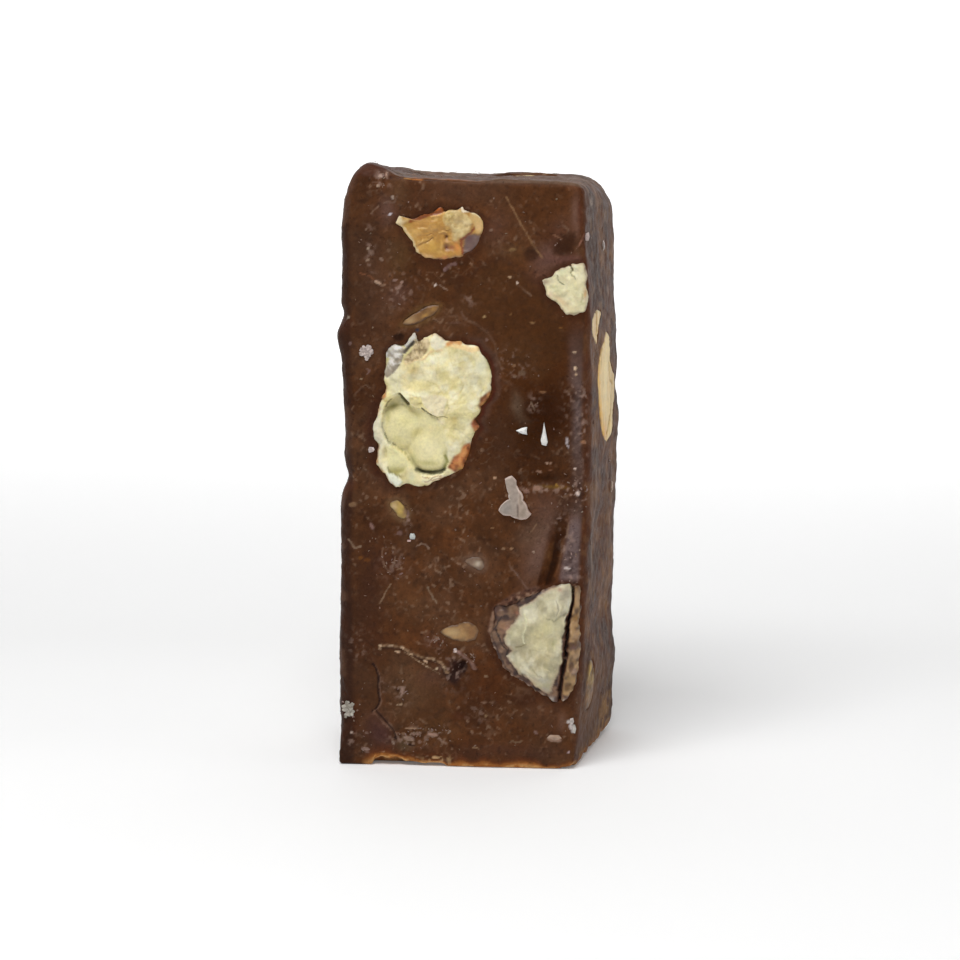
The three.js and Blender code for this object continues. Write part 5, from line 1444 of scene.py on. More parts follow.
EDGE_SPOTS = [
    (11.4, 63.8, 0.8, 0.6, 30, (204, 204, 168), 0.8, -0.04),
        (10.4, 61.4, 0.9, 0.5, 0, (218, 212, 166), 0.8, 0.0),
    (13.5, 63.8, 0.7, 0.8, 0, (226, 218, 182), 0.8, 0.05),
        (12.8, 61.6, 1.0, 0.8, 0, (232, 224, 180), 0.8, 0.06),
    (11.6, 61.2, 0.25, 0.5, 0, (238, 230, 190), 0.7, 0.05),
        (11.1, 60.0, 1.2, 0.35, -38, (220, 194, 152), 0.85, -0.03),
    (9.7, 60.8, 0.4, 0.3, -40, (216, 190, 158), 0.8, 0.0),
        (9.0, 62.3, 0.6, 0.35, 0, (172, 152, 130), 0.95, -0.15),
    (9.9, 62.6, 0.35, 0.4, 0, (200, 190, 156), 0.8, 0.0),
        (12.4, 59.0, 0.9, 0.4, 0, (212, 198, 154), 0.8, 0.0),
    (12.8, 58.4, 0.9, 0.2, 0, (160, 152, 118), 0.9, -0.05),
        (13.2, 64.9, 1.0, 0.14, 5, (190, 168, 128), 0.85, -0.08),
    (14.1, 60.9, 0.2, 0.75, 0, (210, 168, 110), 0.95, -0.05),
        (14.5, 60.8, 0.14, 0.8, 0, (190, 168, 140), 0.8, 0.0),
    (12.0, 64.2, 0.22, 0.14, 0, (238, 236, 206), 0.9, 0.08),
        (12.8, 64.3, 0.22, 0.16, 0, (240, 238, 210), 0.9, 0.08),
    (12.5, 64.5, 0.2, 0.12, 0, (214, 176, 140), 0.8, 0.0),
        (13.8, 59.6, 0.4, 0.2, 0, (196, 190, 136), 0.6, -0.05),
    (14.2, 59.3, 0.2, 0.35, 0, (226, 218, 186), 0.7, 0.04),
        (11.3, 59.1, 0.12, 0.4, 30, (226, 204, 170), 0.8, 0.04),
]
EDGE_LINES = [
    ([(12.0, 64.5), (12.3, 64.3), (12.4, 64.0), (12.5, 63.8)], 0.13, (112, 100, 70), 0.9, -0.25),
    ([(12.5, 63.8), (12.3, 63.5), (12.5, 63.1), (12.9, 62.8)], 0.09, (160, 154, 114), 0.8, -0.12),
    ([(10.6, 63.2), (10.7, 62.7), (10.9, 62.3), (11.4, 62.0)], 0.08, (152, 150, 112), 0.8, -0.12),
    ([(10.5, 63.3), (10.6, 63.4), (10.8, 63.1)], 0.1, (232, 228, 196), 0.8, 0.06),
    ([(12.6, 63.5), (12.8, 63.1), (13.1, 63.1)], 0.08, (240, 234, 202), 0.8, 0.06),
    ([(13.7, 60.9), (13.8, 60.3), (13.5, 59.9)], 0.1, (178, 168, 116), 0.6, -0.06),
    ([(13.9, 64.6), (14.1, 64.0), (14.3, 63.3), (14.3, 62.5)], 0.1, (236, 228, 196), 0.7, 0.04),
]


def nut_edge(u, v, p, edge):
    wu, wv = wander(u, v, p, 0.1, 0.4, 60)
    height = 0.22 + 0.12 * noise(p, 1.2, 61, 2) + 0.07 * noise(p, 0.45, 62, 2)
    paint = Paint(len(u), (230, 221, 180))
    # Swells are raised and painted lighter where they rise: painted shading.
    swells = noise(p @ TURN, 1.1, 65, 2)
    paint.shade(1 + 0.25 * swells)
    height += 0.2 * swells
    cloud = noise(p, 0.9, 63, 3)
    paint.lay((214, 204, 158), 0.5 * smooth(0.0, 0.4, cloud))
    paint.lay((240, 234, 206), 0.5 * smooth(0.0, 0.4, -cloud))
    height += lay_spots(paint, wu, wv, EDGE_SPOTS)
    height += lay_lines(paint, wu, wv, EDGE_LINES)
    rim = edge + 0.22 * noise(p, 0.4, 64, 2)
    paint.lay((178, 152, 122), 0.8 * (1 - smooth(0.05, 0.4, rim)))
    paint.lay((110, 78, 54), 0.8 * (1 - smooth(0.0, 0.12, rim)))
    return height, paint, 0.66


CORNER_FLESH = [
    (12.2, 24.4), (12.8, 23.9), (12.7, 23.0), (12.5, 21.1), (12.1, 20.4), (11.8, 19.5),
    (11.7, 18.1), (11.4, 17.2), (11.4, 15.6), (11.4, 14.9), (11.5, 14.3), (11.2, 13.6),
    (11.0, 12.7), (10.6, 11.8), (10.3, 10.8), (10.1, 10.1), (9.6, 9.8), (8.4, 10.5), (7.3, 11.6),
    (6.0, 12.3), (5.6, 13.0), (4.9, 13.8), (4.3, 14.7), (4.9, 15.4), (4.2, 16.4), (4.0, 17.1),
    (4.3, 17.9), (4.9, 18.7), (5.5, 19.4), (6.0, 20.2), (6.0, 21.0), (6.7, 21.5), (7.6, 21.9),
    (8.2, 22.5), (8.9, 23.0), (9.5, 23.4), (10.6, 23.8), (11.3, 24.2),
]
CORNER_SPLIT = [(12.7, 24.2), (12.8, 22.5), (12.5, 21.0), (12.2, 19.5), (12.1, 18.5), (12.0, 17.2),
    (11.8, 15.6), (11.9, 14.5), (11.6, 13.5), (11.4, 12.1), (11.3, 10.9), (11.1, 9.5), (11.3, 8.1)]
CORNER_SPOTS = [
    (8.9, 17.1, 1.5, 1.9, 0, (210, 198, 150), 0.8, 0.1),
        (9.6, 18.5, 1.0, 0.9, 0, (206, 196, 146), 0.7, 0.05),
    (9.1, 14.3, 1.1, 0.9, 0, (204, 190, 140), 0.7, 0.0),
        (5.4, 17.8, 0.8, 1.1, 20, (204, 196, 160), 0.8, 0.0),
    (5.4, 15.7, 0.7, 0.7, -20, (188, 178, 150), 0.8, -0.05),
        (6.5, 14.9, 0.9, 0.7, 0, (182, 170, 134), 0.8, -0.1),
    (10.2, 21.6, 0.9, 0.9, 0, (208, 200, 166), 0.8, 0.1),
        (10.8, 21.9, 0.25, 0.4, 10, (234, 230, 204), 0.95, 0.1),
    (11.2, 21.0, 0.2, 0.4, -20, (226, 216, 182), 0.9, 0.08),
        (8.6, 21.1, 0.5, 0.7, 0, (186, 176, 142), 0.8, -0.1),
    (7.3, 21.3, 0.4, 0.4, 0, (206, 202, 164), 0.8, 0.03),
        (11.8, 22.8, 0.8, 1.0, 0, (184, 174, 152), 0.85, -0.12),
    (12.2, 21.8, 0.3, 0.5, 0, (200, 196, 180), 0.8, 0.0),
        (11.1, 23.4, 0.35, 0.25, 0, (186, 144, 116), 0.85, 0.0),
    (9.5, 23.6, 0.7, 0.22, 10, (150, 108, 82), 0.9, -0.05),
        (11.6, 20.2, 0.5, 0.35, 0, (168, 160, 136), 0.7, -0.1),
    (10.7, 19.0, 0.5, 0.6, 0, (188, 182, 146), 0.7, -0.06),
        (10.9, 17.6, 0.3, 0.8, 0, (214, 204, 164), 0.7, 0.05),
    (10.4, 16.5, 0.3, 0.5, 0, (188, 184, 128), 0.6, -0.06),
        (8.4, 13.3, 0.5, 0.7, 0, (176, 164, 128), 0.6, -0.06),
    (7.1, 12.7, 0.7, 0.25, -30, (204, 194, 166), 0.85, 0.1),
        (6.4, 12.3, 0.4, 0.2, -35, (128, 116, 96), 0.8, -0.12),
    (9.0, 11.7, 0.9, 0.4, 0, (182, 176, 158), 0.85, 0.0),
        (9.3, 10.4, 0.5, 0.35, -20, (168, 158, 142), 0.9, -0.05),
    (10.0, 12.3, 0.5, 0.3, 0, (206, 194, 156), 0.8, 0.05),
        (8.1, 11.6, 0.5, 0.25, -35, (172, 160, 138), 0.8, -0.03),
    (6.0, 19.2, 0.25, 0.6, 20, (208, 204, 168), 0.7, 0.0),
        (9.6, 14.2, 0.3, 0.3, 0, (222, 210, 160), 0.7, 0.06),
]
CORNER_BARK = [
    (5.1, 20.9, 0.6, 0.5, 0, (126, 92, 60), 0.9, 0.05),
    (5.7, 20.3, 0.3, 0.35, 0, (160, 112, 84), 0.8, 0.05),
    (4.2, 18.4, 0.6, 0.7, 20, (170, 130, 104), 0.9, 0.08),
    (3.8, 18.7, 0.4, 0.5, 30, (142, 104, 72), 0.8, 0.0),
    (3.3, 18.0, 0.3, 0.5, 0, (134, 100, 72), 0.8, 0.05),
    (2.6, 18.9, 0.16, 0.2, 0, (168, 136, 124), 0.9, 0.12),
    (3.1, 20.6, 0.6, 0.5, 0, (86, 58, 48), 0.8, 0.0),
    (3.9, 15.8, 0.5, 0.35, -30, (158, 124, 96), 0.9, 0.05),
    (3.9, 14.5, 0.4, 0.5, -30, (114, 86, 66), 0.8, 0.0),
    (3.1, 16.6, 0.4, 0.7, 10, (108, 78, 58), 0.8, 0.0),
    (2.7, 15.7, 0.14, 0.3, 30, (206, 176, 156), 0.95, 0.12),
    (3.7, 13.4, 0.12, 0.28, 30, (200, 172, 152), 0.95, 0.12),
    (5.0, 12.1, 0.25, 0.1, -30, (196, 168, 138), 0.95, 0.1),
    (6.2, 11.4, 0.36, 0.1, -30, (212, 184, 160), 0.95, 0.12),
    (7.0, 11.0, 0.3, 0.1, -30, (198, 168, 146), 0.95, 0.12),
    (7.9, 10.2, 0.25, 0.1, -30, (178, 148, 116), 0.9, 0.1),
    (8.9, 9.8, 0.4, 0.14, -30, (170, 142, 116), 0.9, 0.1),
    (10.1, 9.2, 0.3, 0.25, 0, (196, 186, 174), 0.95, 0.12),
    (11.6, 9.0, 0.3, 0.22, 30, (216, 196, 180), 0.95, 0.15),
    (12.5, 10.0, 0.3, 0.12, 45, (196, 158, 128), 0.9, 0.08),
    (12.2, 8.5, 0.4, 0.2, 40, (120, 88, 62), 0.8, 0.0),
]
STRIP_SPOTS = [
        (13.2, 22.6, 0.25, 0.7, 5, (190, 156, 116), 0.8, 0.0),
            (13.5, 23.6, 0.25, 0.4, 0, (120, 86, 52), 0.8, 0.0),
        (13.1, 19.7, 0.35, 0.6, 0, (158, 116, 64), 0.8, 0.0),
            (13.3, 18.4, 0.35, 0.2, 0, (84, 50, 16), 0.9, 0.0),
        (13.1, 17.4, 0.35, 0.5, 0, (182, 146, 108), 0.8, 0.0),
            (12.9, 15.9, 0.4, 0.35, 0, (110, 76, 66), 0.9, 0.0),
        (13.1, 14.8, 0.5, 0.4, 0, (166, 136, 104), 0.8, 0.0),
            (13.0, 12.8, 0.4, 0.4, 0, (176, 144, 124), 0.8, 0.0),
        (12.4, 11.8, 0.4, 0.4, 0, (156, 126, 80), 0.8, 0.0),
            (12.0, 10.6, 0.3, 0.4, 0, (110, 80, 44), 0.9, 0.0),
]
CORNER_LINES = [
        ([(6.6, 20.3), (6.9, 19.4), (6.9, 18.5), (6.5, 17.8), (6.5, 16.9), (6.6, 16.3)], 0.13,
            (222, 218, 180), 0.9, 0.1),
        ([(6.8, 16.3), (6.2, 15.9), (5.5, 15.8)], 0.1, (158, 146, 106), 0.7, -0.06),
        ([(9.5, 19.7), (10.5, 19.3), (11.2, 20.0)], 0.1, (160, 154, 124), 0.6, -0.08),
        ([(7.7, 13.0), (8.3, 12.2), (8.9, 12.1)], 0.1, (162, 152, 122), 0.6, -0.08),
        ([(8.7, 13.2), (9.8, 12.8), (10.6, 13.1)], 0.08, (216, 204, 166), 0.6, 0.05),
        ([(10.7, 22.1), (11.0, 20.9), (10.7, 20.2)], 0.1, (160, 148, 122), 0.7, -0.06),
]
BARK_FOLD = [(3.7, 19.8), (3.1, 18.9), (2.9, 18.2), (3.8, 16.2), (4.5, 15.4), (4.3, 14.7)]
BARK_EDGE = [(2.3, 17.7), (2.9, 16.1), (3.5, 14.7), (4.2, 13.3), (5.4, 12.2)]


def nut_corner(u, v, p, edge):
    wu, wv = wander(u, v, p, 0.14, 0.5, 70)
    gap = line_distance(wu, wv, CORNER_SPLIT)
    split_u, split_v = zip(*reversed(CORNER_SPLIT))
    side = u - np.interp(v, split_v, split_u)
    flesh = smooth(-0.06, 0.12, inside_patch(wu, wv, CORNER_FLESH))
    bark = smooth(0.1, 0.35, side)
    height = 0.08 + 0.1 * noise(p, 1.2, 72, 2) + 0.06 * noise(p, 0.4, 73, 2)
    height += 0.26 * flesh + (1 - flesh) * (1 - bark) * 0.24 * noise(p, 0.6, 75, 2)
    height += bark * (0.1 + 0.4 * noise(p, (0.6, 0.6, 0.8), 76, 3))
    paint = Paint(len(u), (84, 56, 44))
    skin = 1 - flesh
    height += skin * lay_grains(paint, p, 0.7, 77, skin, (138, 106, 80), (54, 32, 24), 0.8)
    height += (1 - flesh) * lay_spots(paint, wu, wv, CORNER_BARK)
    paint.lay((40, 22, 16), 0.9 * smooth(0.3, 0.8, stroke(wu, wv, BARK_FOLD, 0.14)))
    paint.lay((58, 34, 26), 0.7 * smooth(0.3, 0.8, stroke(wu, wv, BARK_EDGE, 0.14)))
    bark_paint = Paint(len(u), (138, 108, 72))
    lay_grains(bark_paint, p, (0.6, 0.6, 0.9), 79, 1.0, (180, 144, 100), (88, 58, 34), 0.9)
    lay_spots(bark_paint, wu, wv, STRIP_SPOTS)
    paint.rgb = mix(paint.rgb, bark_paint.rgb, (bark * smooth(-0.1, 0.1, v - 9.8))[:, None])
    # The flesh is painted lighter where its swells rise, with a cloud of lighter and darker flesh
    # over it: painted light and shade.
    swells = noise(p @ TURN, 1.7, 74, 2)
    flesh_paint = Paint(len(u), (200, 191, 157))
    flesh_paint.shade(1 + 0.45 * swells)
    cloud = noise(p, (1.1, 1.1, 1.8), 78, 3)
    flesh_paint.lay((172, 164, 132), 0.75 * smooth(0.0, 0.35, cloud))
    flesh_paint.lay((224, 218, 190), 0.8 * smooth(0.0, 0.35, -cloud))
    height += flesh * (2.4 * lay_spots(flesh_paint, wu, wv, CORNER_SPOTS) + 0.5 * swells)
    height += flesh * lay_lines(flesh_paint, wu, wv, CORNER_LINES)
    flesh_rim = smooth(0.45, 0.0, inside_patch(wu, wv, CORNER_FLESH)) * smooth(12, 10, u)
    flesh_paint.lay((178, 146, 118), 0.6 * flesh_rim)
    paint.rgb = mix(paint.rgb, flesh_paint.rgb, flesh[:, None])
    width = np.interp(v, [9, 14, 17, 20, 24.5], [0.2, 0.2, 0.19, 0.14, 0.1])
    height -= 1.1 * bump(gap, width)
    paint.lay((84, 50, 38), 0.9 * smooth(0.25, 0.8, bump(gap, 2.0 * width)))
    paint.lay((40, 18, 10), 0.95 * smooth(0.3, 0.8, bump(gap, width)))
    paint.lay((150, 120, 100), 0.8 * smooth(0.3, 0.7, spot(wu, wv, 11.9, 14.4, 0.4, 0.22)))
    rim = edge + 0.2 * noise(p, 0.4, 82, 2)
    paint.lay((60, 34, 24), 0.8 * (1 - smooth(0.0, 0.2, rim)))
    return height, paint, 0.5


# A cut nut with its skin, a split down the middle and a worn hollow.
def cut_nut(seed, flesh=CREAM, worn=0.5, sunk=0.0):
    def relief(u, v, p, edge):
        rng = np.random.default_rng(seed)
        middle = np.array([u.mean(), v.mean()])
        height = 0.18 - sunk + 0.12 * noise(p, 1.3, seed, 2) + 0.06 * noise(p, 0.45, seed + 1, 2)
        turn = rng.uniform(0, math.pi)
        split = spot(u, v, middle[0], middle[1], 0.22, 3.0, turn)
        split = split * smooth(-0.3, 0.2, noise(p, 1.0, seed + 5, 2))
        off = rng.uniform(-1, 1), rng.uniform(-2, 2)
        hollow = spot(u, v, middle[0] + off[0], middle[1] + off[1], 1.1, 1.7, turn)
        creases = 1 - smooth(0.0, 0.08, np.abs(noise(p, 1.3, seed + 6, 2)))
        height -= 0.5 * split + 0.35 * hollow * worn + 0.07 * creases
        paint = Paint(len(u), flesh)
        dark = tuple(0.84 * c for c in flesh)
        light = tuple(min(255, 1.06 * c) for c in flesh)
        paint.lay(dark, 0.8 * smooth(0.0, 0.5, noise(p, 1.7, seed + 2, 3)))
        paint.lay(light, 0.8 * smooth(0.0, 0.5, noise(p, 1.1, seed + 3, 3)))
        paint.lay(dark, 0.5 * creases)
        paint.lay((186, 162, 108), 0.6 * hollow * worn)
        paint.lay((126, 100, 64), 0.7 * smooth(0.3, 0.9, split))
        toasted = bump(edge - 0.1, 0.3) * smooth(0.0, 0.4, noise(p, 1.6, seed + 4, 2))
        paint.lay((196, 122, 60), 0.7 * toasted)
        rim = edge + 0.35 * noise(p, 1.0, seed + 7, 2)
        paint.lay((186, 128, 66), 0.8 * (1 - smooth(0.2, 0.8, rim)))
        paint.lay(SKIN, 0.9 * (1 - smooth(0.15, 0.4, rim)))
        return height, paint, 0.6
    return relief


# A small chip, flush with the nougat and smeared into it at its rim.
def chip(seed, flesh, spots, fade=0.45, mottle=0.35):
    def relief(u, v, p, edge):
        wu, wv = wander(u, v, p, 0.1, 0.4, seed)
        grain = noise(p, 0.35, seed + 1, 2)
        paint = Paint(len(u), flesh)
        paint.shade(1 + mottle * noise(p, 0.6, seed + 2, 2))
        height = 0.14 + 0.08 * grain + lay_spots(paint, wu, wv, spots)
        smear = edge + 0.25 * noise(p, 0.5, seed + 3, 2)
        paint.lay((88, 58, 38), 0.9 * (1 - smooth(0.05, fade, smear)))
        return height - 0.1 * (1 - smooth(0.0, fade, edge)), paint, 0.5
    return relief


def nut_side(u, v, p, edge):
    height = 0.12 + 0.1 * noise(p, (1.0, 1.0, 3.0), 81, 2) + 0.05 * noise(p, 0.5, 84, 2)
    paint = Paint(len(u), (236, 206, 142))
    paint.lay((214, 178, 116), 0.6 * smooth(0.0, 0.5, noise(p, (0.8, 0.8, 4.0), 82, 3)))
    paint.lay((244, 222, 168), 0.8 * spot(u, v, 0.2, 49.5, 1.6, 5.0))
    paint.lay((214, 186, 132), 0.8 * smooth(3.2, 4.6, u))
    paint.lay((206, 172, 112), 0.6 * smooth(3.2, 4.6, u) * smooth(-0.2, 0.2, noise(p, 0.8, 85, 2)))
    left_edge = stroke(u, v, [(-5.2, 52.4), (-4.6, 47.9), (-3.9, 44.9), (-2.0, 42.2)], 1.3)
    paint.lay((232, 184, 92), 0.9 * smooth(0.15, 0.8, left_edge))
    paint.lay((220, 160, 92), 0.8 * spot(u, v, -0.4, 42.2, 1.0, 1.3))
    height += lay_lines(paint, *wander(u, v, p, 0.25, 0.8, 90), [
        ([(4.8, 46.0), (4.0, 44.4), (2.4, 43.0), (0.6, 41.8)], 0.32, (172, 126, 70), 0.7, -0.25),
        ([(3.4, 53.0), (3.8, 51.4), (5.4, 49.9)], 0.26, (190, 146, 92), 0.6, -0.15),
        ([(2.6, 50.6), (3.4, 48.4), (5.6, 47.6)], 0.22, (190, 150, 96), 0.6, -0.1),
    ])
    rim = edge + 0.2 * noise(p, 0.7, 86, 2)
    paint.lay((176, 118, 58), 0.7 * (1 - smooth(0.05, 0.4, rim)))
    paint.lay((92, 50, 26), 0.8 * (1 - smooth(0.0, 0.16, rim)))
    return height, paint, 0.5


def nut_side_small(u, v, p, edge):
    height = 0.1 + 0.08 * noise(p, 0.6, 87, 2)
    paint = Paint(len(u), (230, 200, 146))
    paint.lay((210, 166, 96), 0.6 * smooth(0.0, 0.4, noise(p, (0.8, 0.8, 2.0), 88, 2)))
    height += lay_lines(paint, *wander(u, v, p, 0.2, 0.8, 93), [
        ([(-5.6, 58.2), (-6.0, 56.8), (-5.6, 55.4), (-5.2, 54.4)], 0.36, (172, 132, 72),
         0.75, -0.2),
        ([(-4.6, 58.0), (-4.9, 56.8)], 0.4, (238, 216, 168), 0.8, 0.05),
    ])
    rim = edge + 0.15 * noise(p, 0.5, 89, 2)
    paint.lay((110, 66, 36), 0.8 * (1 - smooth(0.0, 0.22, rim)))
    return height, paint, 0.5


RELIEFS = {
    "nut_large": nut_large,
    "nut_top": nut_top,
    "nut_edge": nut_edge,
    "nut_corner": nut_corner,
    "nut_side": nut_side,
    "nut_side_small": nut_side_small,
    "nut_side_low": chip(220, (108, 72, 32), [
        (-6.6, 12.0, 0.7, 1.2, 0, (190, 156, 62), 0.95, 0.1),
        (-5.2, 10.4, 0.8, 0.8, 20, (156, 128, 62), 0.85, 0.1),
        (-6.2, 8.4, 0.9, 0.5, -30, (140, 104, 54), 0.8, 0.08),
        (-4.6, 7.6, 0.8, 0.8, 0, (126, 86, 44), 0.9, 0.0),
        (-6.0, 9.6, 0.6, 0.3, 0, (82, 56, 24), 0.8, -0.1),
        (-5.8, 11.5, 0.8, 0.3, 20, (98, 70, 26), 0.8, -0.1)], 0.7, 0.8),
    "chip_tan": chip(230, (150, 112, 66), [
        (-2.6, 17.6, 1.1, 0.6, 0, (188, 158, 112), 0.9, 0.06),
        (-0.1, 17.7, 0.8, 0.9, 0, (128, 86, 44), 0.85, 0.0),
        (-1.2, 17.3, 0.6, 0.4, 0, (176, 138, 86), 0.7, 0.04)], 0.7),
    "chip_gold": chip(240, (120, 82, 40), [
        (-7.8, 57.4, 0.7, 0.4, 20, (176, 146, 104), 0.85, 0.05),
        (-5.9, 58.0, 0.5, 0.25, 35, (178, 134, 66), 0.9, 0.05),
        (-4.9, 58.8, 0.35, 0.25, 35, (170, 126, 60), 0.8, 0.04)]),
    "chip_yellow": chip(250, (162, 132, 70), [
        (-9.9, 33.8, 0.4, 0.4, 0, (196, 170, 128), 0.9, 0.05),
        (-9.2, 33.3, 0.35, 0.6, 15, (192, 164, 84), 0.85, 0.05),
        (-8.4, 33.2, 0.3, 0.6, 0, (110, 80, 72), 0.8, 0.0)], 0.35),
    "chip_pink": chip(260, (122, 96, 76), [
        (0.7, 26.6, 0.45, 0.35, 0, (188, 172, 150), 0.95, 0.06),
        (-0.2, 26.8, 0.4, 0.3, 0, (120, 94, 74), 0.7, 0.0)], 0.35),
    "nut_back_high": cut_nut(310),
    "nut_back_middle": cut_nut(320, (232, 216, 164)),
    "nut_back_low": cut_nut(330, (214, 180, 118)),
    "nut_back_small": cut_nut(340, (226, 210, 160), 0.2),
    "nut_left_high": cut_nut(350, (230, 214, 162)),
    "nut_left_low": cut_nut(360, (236, 224, 180)),
    "nut_upper": cut_nut(370, (222, 200, 146), 0.3, 0.5),
}
FINE = 0.15  # the size of a nut's mesh cells
SPOKES = (60, 360)  # fewest and most round a nut
RINGS = (10, 60)  # fewest and most from its rim to its middle
DOME_RINGS = 6  # those of its underside


# A disc of rings from the middle to the rim: its places, and how far each is from the rim.
def disc(middle, angle, rim, rings):
    share = np.linspace(0, 1, rings + 1)[1:, None]
    u = np.append((middle[0] + share * (rim * np.cos(angle))).ravel(), middle[0])
    v = np.append((middle[1] + share * (rim * np.sin(angle))).ravel(), middle[1])
    edge = np.append(((1 - share) * rim).ravel(), rim.min())
    return u, v, edge


# The quads between two rings of points, and the triangles from a ring to its tip.
def between(spokes, outer, inner):
    ring = np.arange(spokes)
    after = np.roll(ring, -1)
    return np.stack([outer + ring, inner + ring, inner + after, outer + after], 1).tolist()


def cap(spokes, start, tip, under=False):
    ring = start + np.arange(spokes)
    after = np.roll(ring, -1)
    pair = [after, ring] if under else [ring, after]
    return np.stack([np.full(spokes, tip), *pair], 1).tolist()


def nut_piece(name):
    face, depth, _ = NUTS[name]
    middle, grid, radius = SHAPES[name]
    mean = radius.mean()
    spokes = int(np.clip(2 * math.pi * mean / FINE, *SPOKES))
    rings = int(np.clip(mean / FINE, *RINGS))
    angle = np.linspace(-math.pi, math.pi, spokes, endpoint=False)
    rim = np.interp(angle, grid, radius, period=2 * math.pi)
    around = np.stack([rim * np.cos(angle), rim * np.sin(angle), 0 * angle + mean], 1)
    rim = rim + (0.08 + 0.14 * smooth(1.0, 3.0, mean)) * noise(around, 0.7, 91, 3)
    if face not in ("front", "right"):
        rim = rim + 0.8 * noise(around, 2.6, 92, 2)
    u, v, edge = disc(middle, angle, rim, rings)
    surface, out = on_face(face, u, v)
    height, paint, rough = RELIEFS[name](u, v, surface, edge)
    round_off = 1 - np.sqrt(np.clip(1 - (1 - np.clip(edge / 0.5, 0, 1)) ** 2, 0, 1))
    sink = np.interp(mean, [1.5, 3.0], [0.16, 0.5])
    top = surface + out * (height - sink * round_off)[:, None]
    # Below the face the nut rounds off inside its pocket.
    dome = []
    for k in range(1, DOME_RINGS + 1):
        turn = k / (DOME_RINGS + 1) * math.pi / 2
        size, deep = math.cos(turn) ** 0.7, depth * math.sin(turn)
        du = middle[0] + size * rim * np.cos(angle)
        dv = middle[1] + size * rim * np.sin(angle)
        base, _ = on_face(face, du, dv)
        dome.append(base - out * max(deep, 0.6))
    tip, _ = on_face(face, middle[:1], middle[1:])
    under = np.concatenate(dome + [tip - out * depth])
    points = np.concatenate([top, under])
    levels = [r * spokes for r in range(rings)]
    levels += [len(top) + r * spokes for r in range(DOME_RINGS)]
    faces = cap(spokes, 0, len(top) - 1)
    for outer, inner in zip(levels, levels[1:]):
        faces += between(spokes, outer, inner)
    faces += cap(spokes, levels[-1], len(points) - 1, under=True)
    if face in ("back", "left"):
        faces = [tuple(reversed(f)) for f in faces]
    colour = np.concatenate([paint.rgb, np.tile(linear(SKIN), (len(under), 1))])
    obj = new_object(name + "_cut", points, faces, colour, np.full(len(points), rough))
    obj.data.materials.append(NUT)
    return obj


# ---------------------------------------------------------------- sugar, flakes and crumbs
def lump_mesh(rng, centre, size, axes, roughness=0.25):
    golden = (1 + 5**0.5) / 2
    corners = np.array([(-1, golden, 0), (1, golden, 0), (-1, -golden, 0), (1, -golden, 0),
                        (0, -1, golden), (0, 1, golden), (0, -1, -golden), (0, 1, -golden),
                        (golden, 0, -1), (golden, 0, 1), (-golden, 0, -1), (-golden, 0, 1)])
    corners = corners / np.linalg.norm(corners[0])
    corners = corners * (1 + roughness * rng.uniform(-1, 1, (12, 1)))
    triangles = np.array([(0, 11, 5), (0, 5, 1), (0, 1, 7), (0, 7, 10), (0, 10, 11), (1, 5, 9),
                          (5, 11, 4), (11, 10, 2), (10, 7, 6), (7, 1, 8), (3, 9, 4), (3, 4, 2),
                          (3, 2, 6), (3, 6, 8), (3, 8, 9), (4, 9, 5), (2, 4, 11), (6, 2, 10),
                          (8, 6, 7), (9, 8, 1)])
    return np.asarray(centre) + (corners * size) @ axes, triangles


def joined(parts):
    points, faces, colours, start = [], [], [], 0
    for p, f, c in parts:
        points.append(p)
        faces.append(f + start)
        colours.append(np.tile(c, (len(p), 1)))
        start += len(p)
    return np.concatenate(points), np.concatenate(faces), np.concatenate(colours)


def face_axes(face):
    first, second, out = FACE_AXES[face]
    return np.stack([np.eye(3)[first], np.eye(3)[second], np.array(out)])


def turned_axes(face, angle):
    first, second, out = face_axes(face)
    c, s = math.cos(angle), math.sin(angle)
    return np.stack([c * first + s * second, c * second - s * first, out])


def clear_of_nuts(face, u, v, margin=0.3):
    clear = np.ones(len(u), bool)
    for name, (where, _, _) in NUTS.items():
        if where == face:
            clear &= inside_outline(u, v, SHAPES[name]) < -margin
    return clear


CRYSTALS = [
    ("front", -13.3, 53.3, 0.9, 0.98, (204, 186, 178)),
    ("front", -15.95, 7.3, 0.85, 1.2, (178, 170, 156)),
    ("front", -12.8, 41.0, 0.45, 0.4, (214, 196, 190)),
    ("front", -7.6, 30.0, 0.46, 0.44, (200, 204, 198)),
    ("front", -8.05, 29.4, 0.3, 0.14, (220, 184, 176)),
    ("front", 14.1, 67.9, 0.5, 0.55, (196, 176, 170)),
    ("front", 12.6, 6.2, 0.4, 0.5, (206, 194, 186)),
    ("front", 12.9, 5.2, 0.35, 0.7, (206, 200, 190)),
    ("front", 10.5, 4.1, 1.0, 0.42, (178, 150, 128)),
    ("front", -13.8, 2.1, 0.7, 0.35, (140, 110, 96)),
    ("front", -2.2, 15.4, 0.22, 0.22, (214, 196, 190)),
    ("back", -12.5, 43.0, 1.0, 0.8, (200, 196, 186)),
    ("back", 11.5, 27.0, 1.1, 0.7, (204, 198, 190)), ("back", 2.5, 70.0, 0.6, 0.5, (196, 186, 176)),
    ("left", 4.6, 46.0, 0.9, 0.8, (204, 198, 188)), ("left", -2.5, 10.0, 0.7, 0.9, (198, 190, 176)),
    ("right", 1.0, 66.0, 0.5, 0.7, (190, 176, 168)),
    ("right", 6.0, 34.0, 0.6, 0.9, (186, 160, 140)),
]
SHARDS = [
    ([(5.4, 43.6), (6.2, 43.95), (6.9, 44.1), (6.85, 43.6), (6.9, 43.05), (6.2, 43.2)],
     (236, 236, 232)),
    ([(9.0, 44.9), (8.8, 43.5), (8.55, 42.4), (8.7, 41.8), (9.3, 41.65), (9.5, 42.2), (9.25, 43.5)],
     (240, 238, 232)),
]


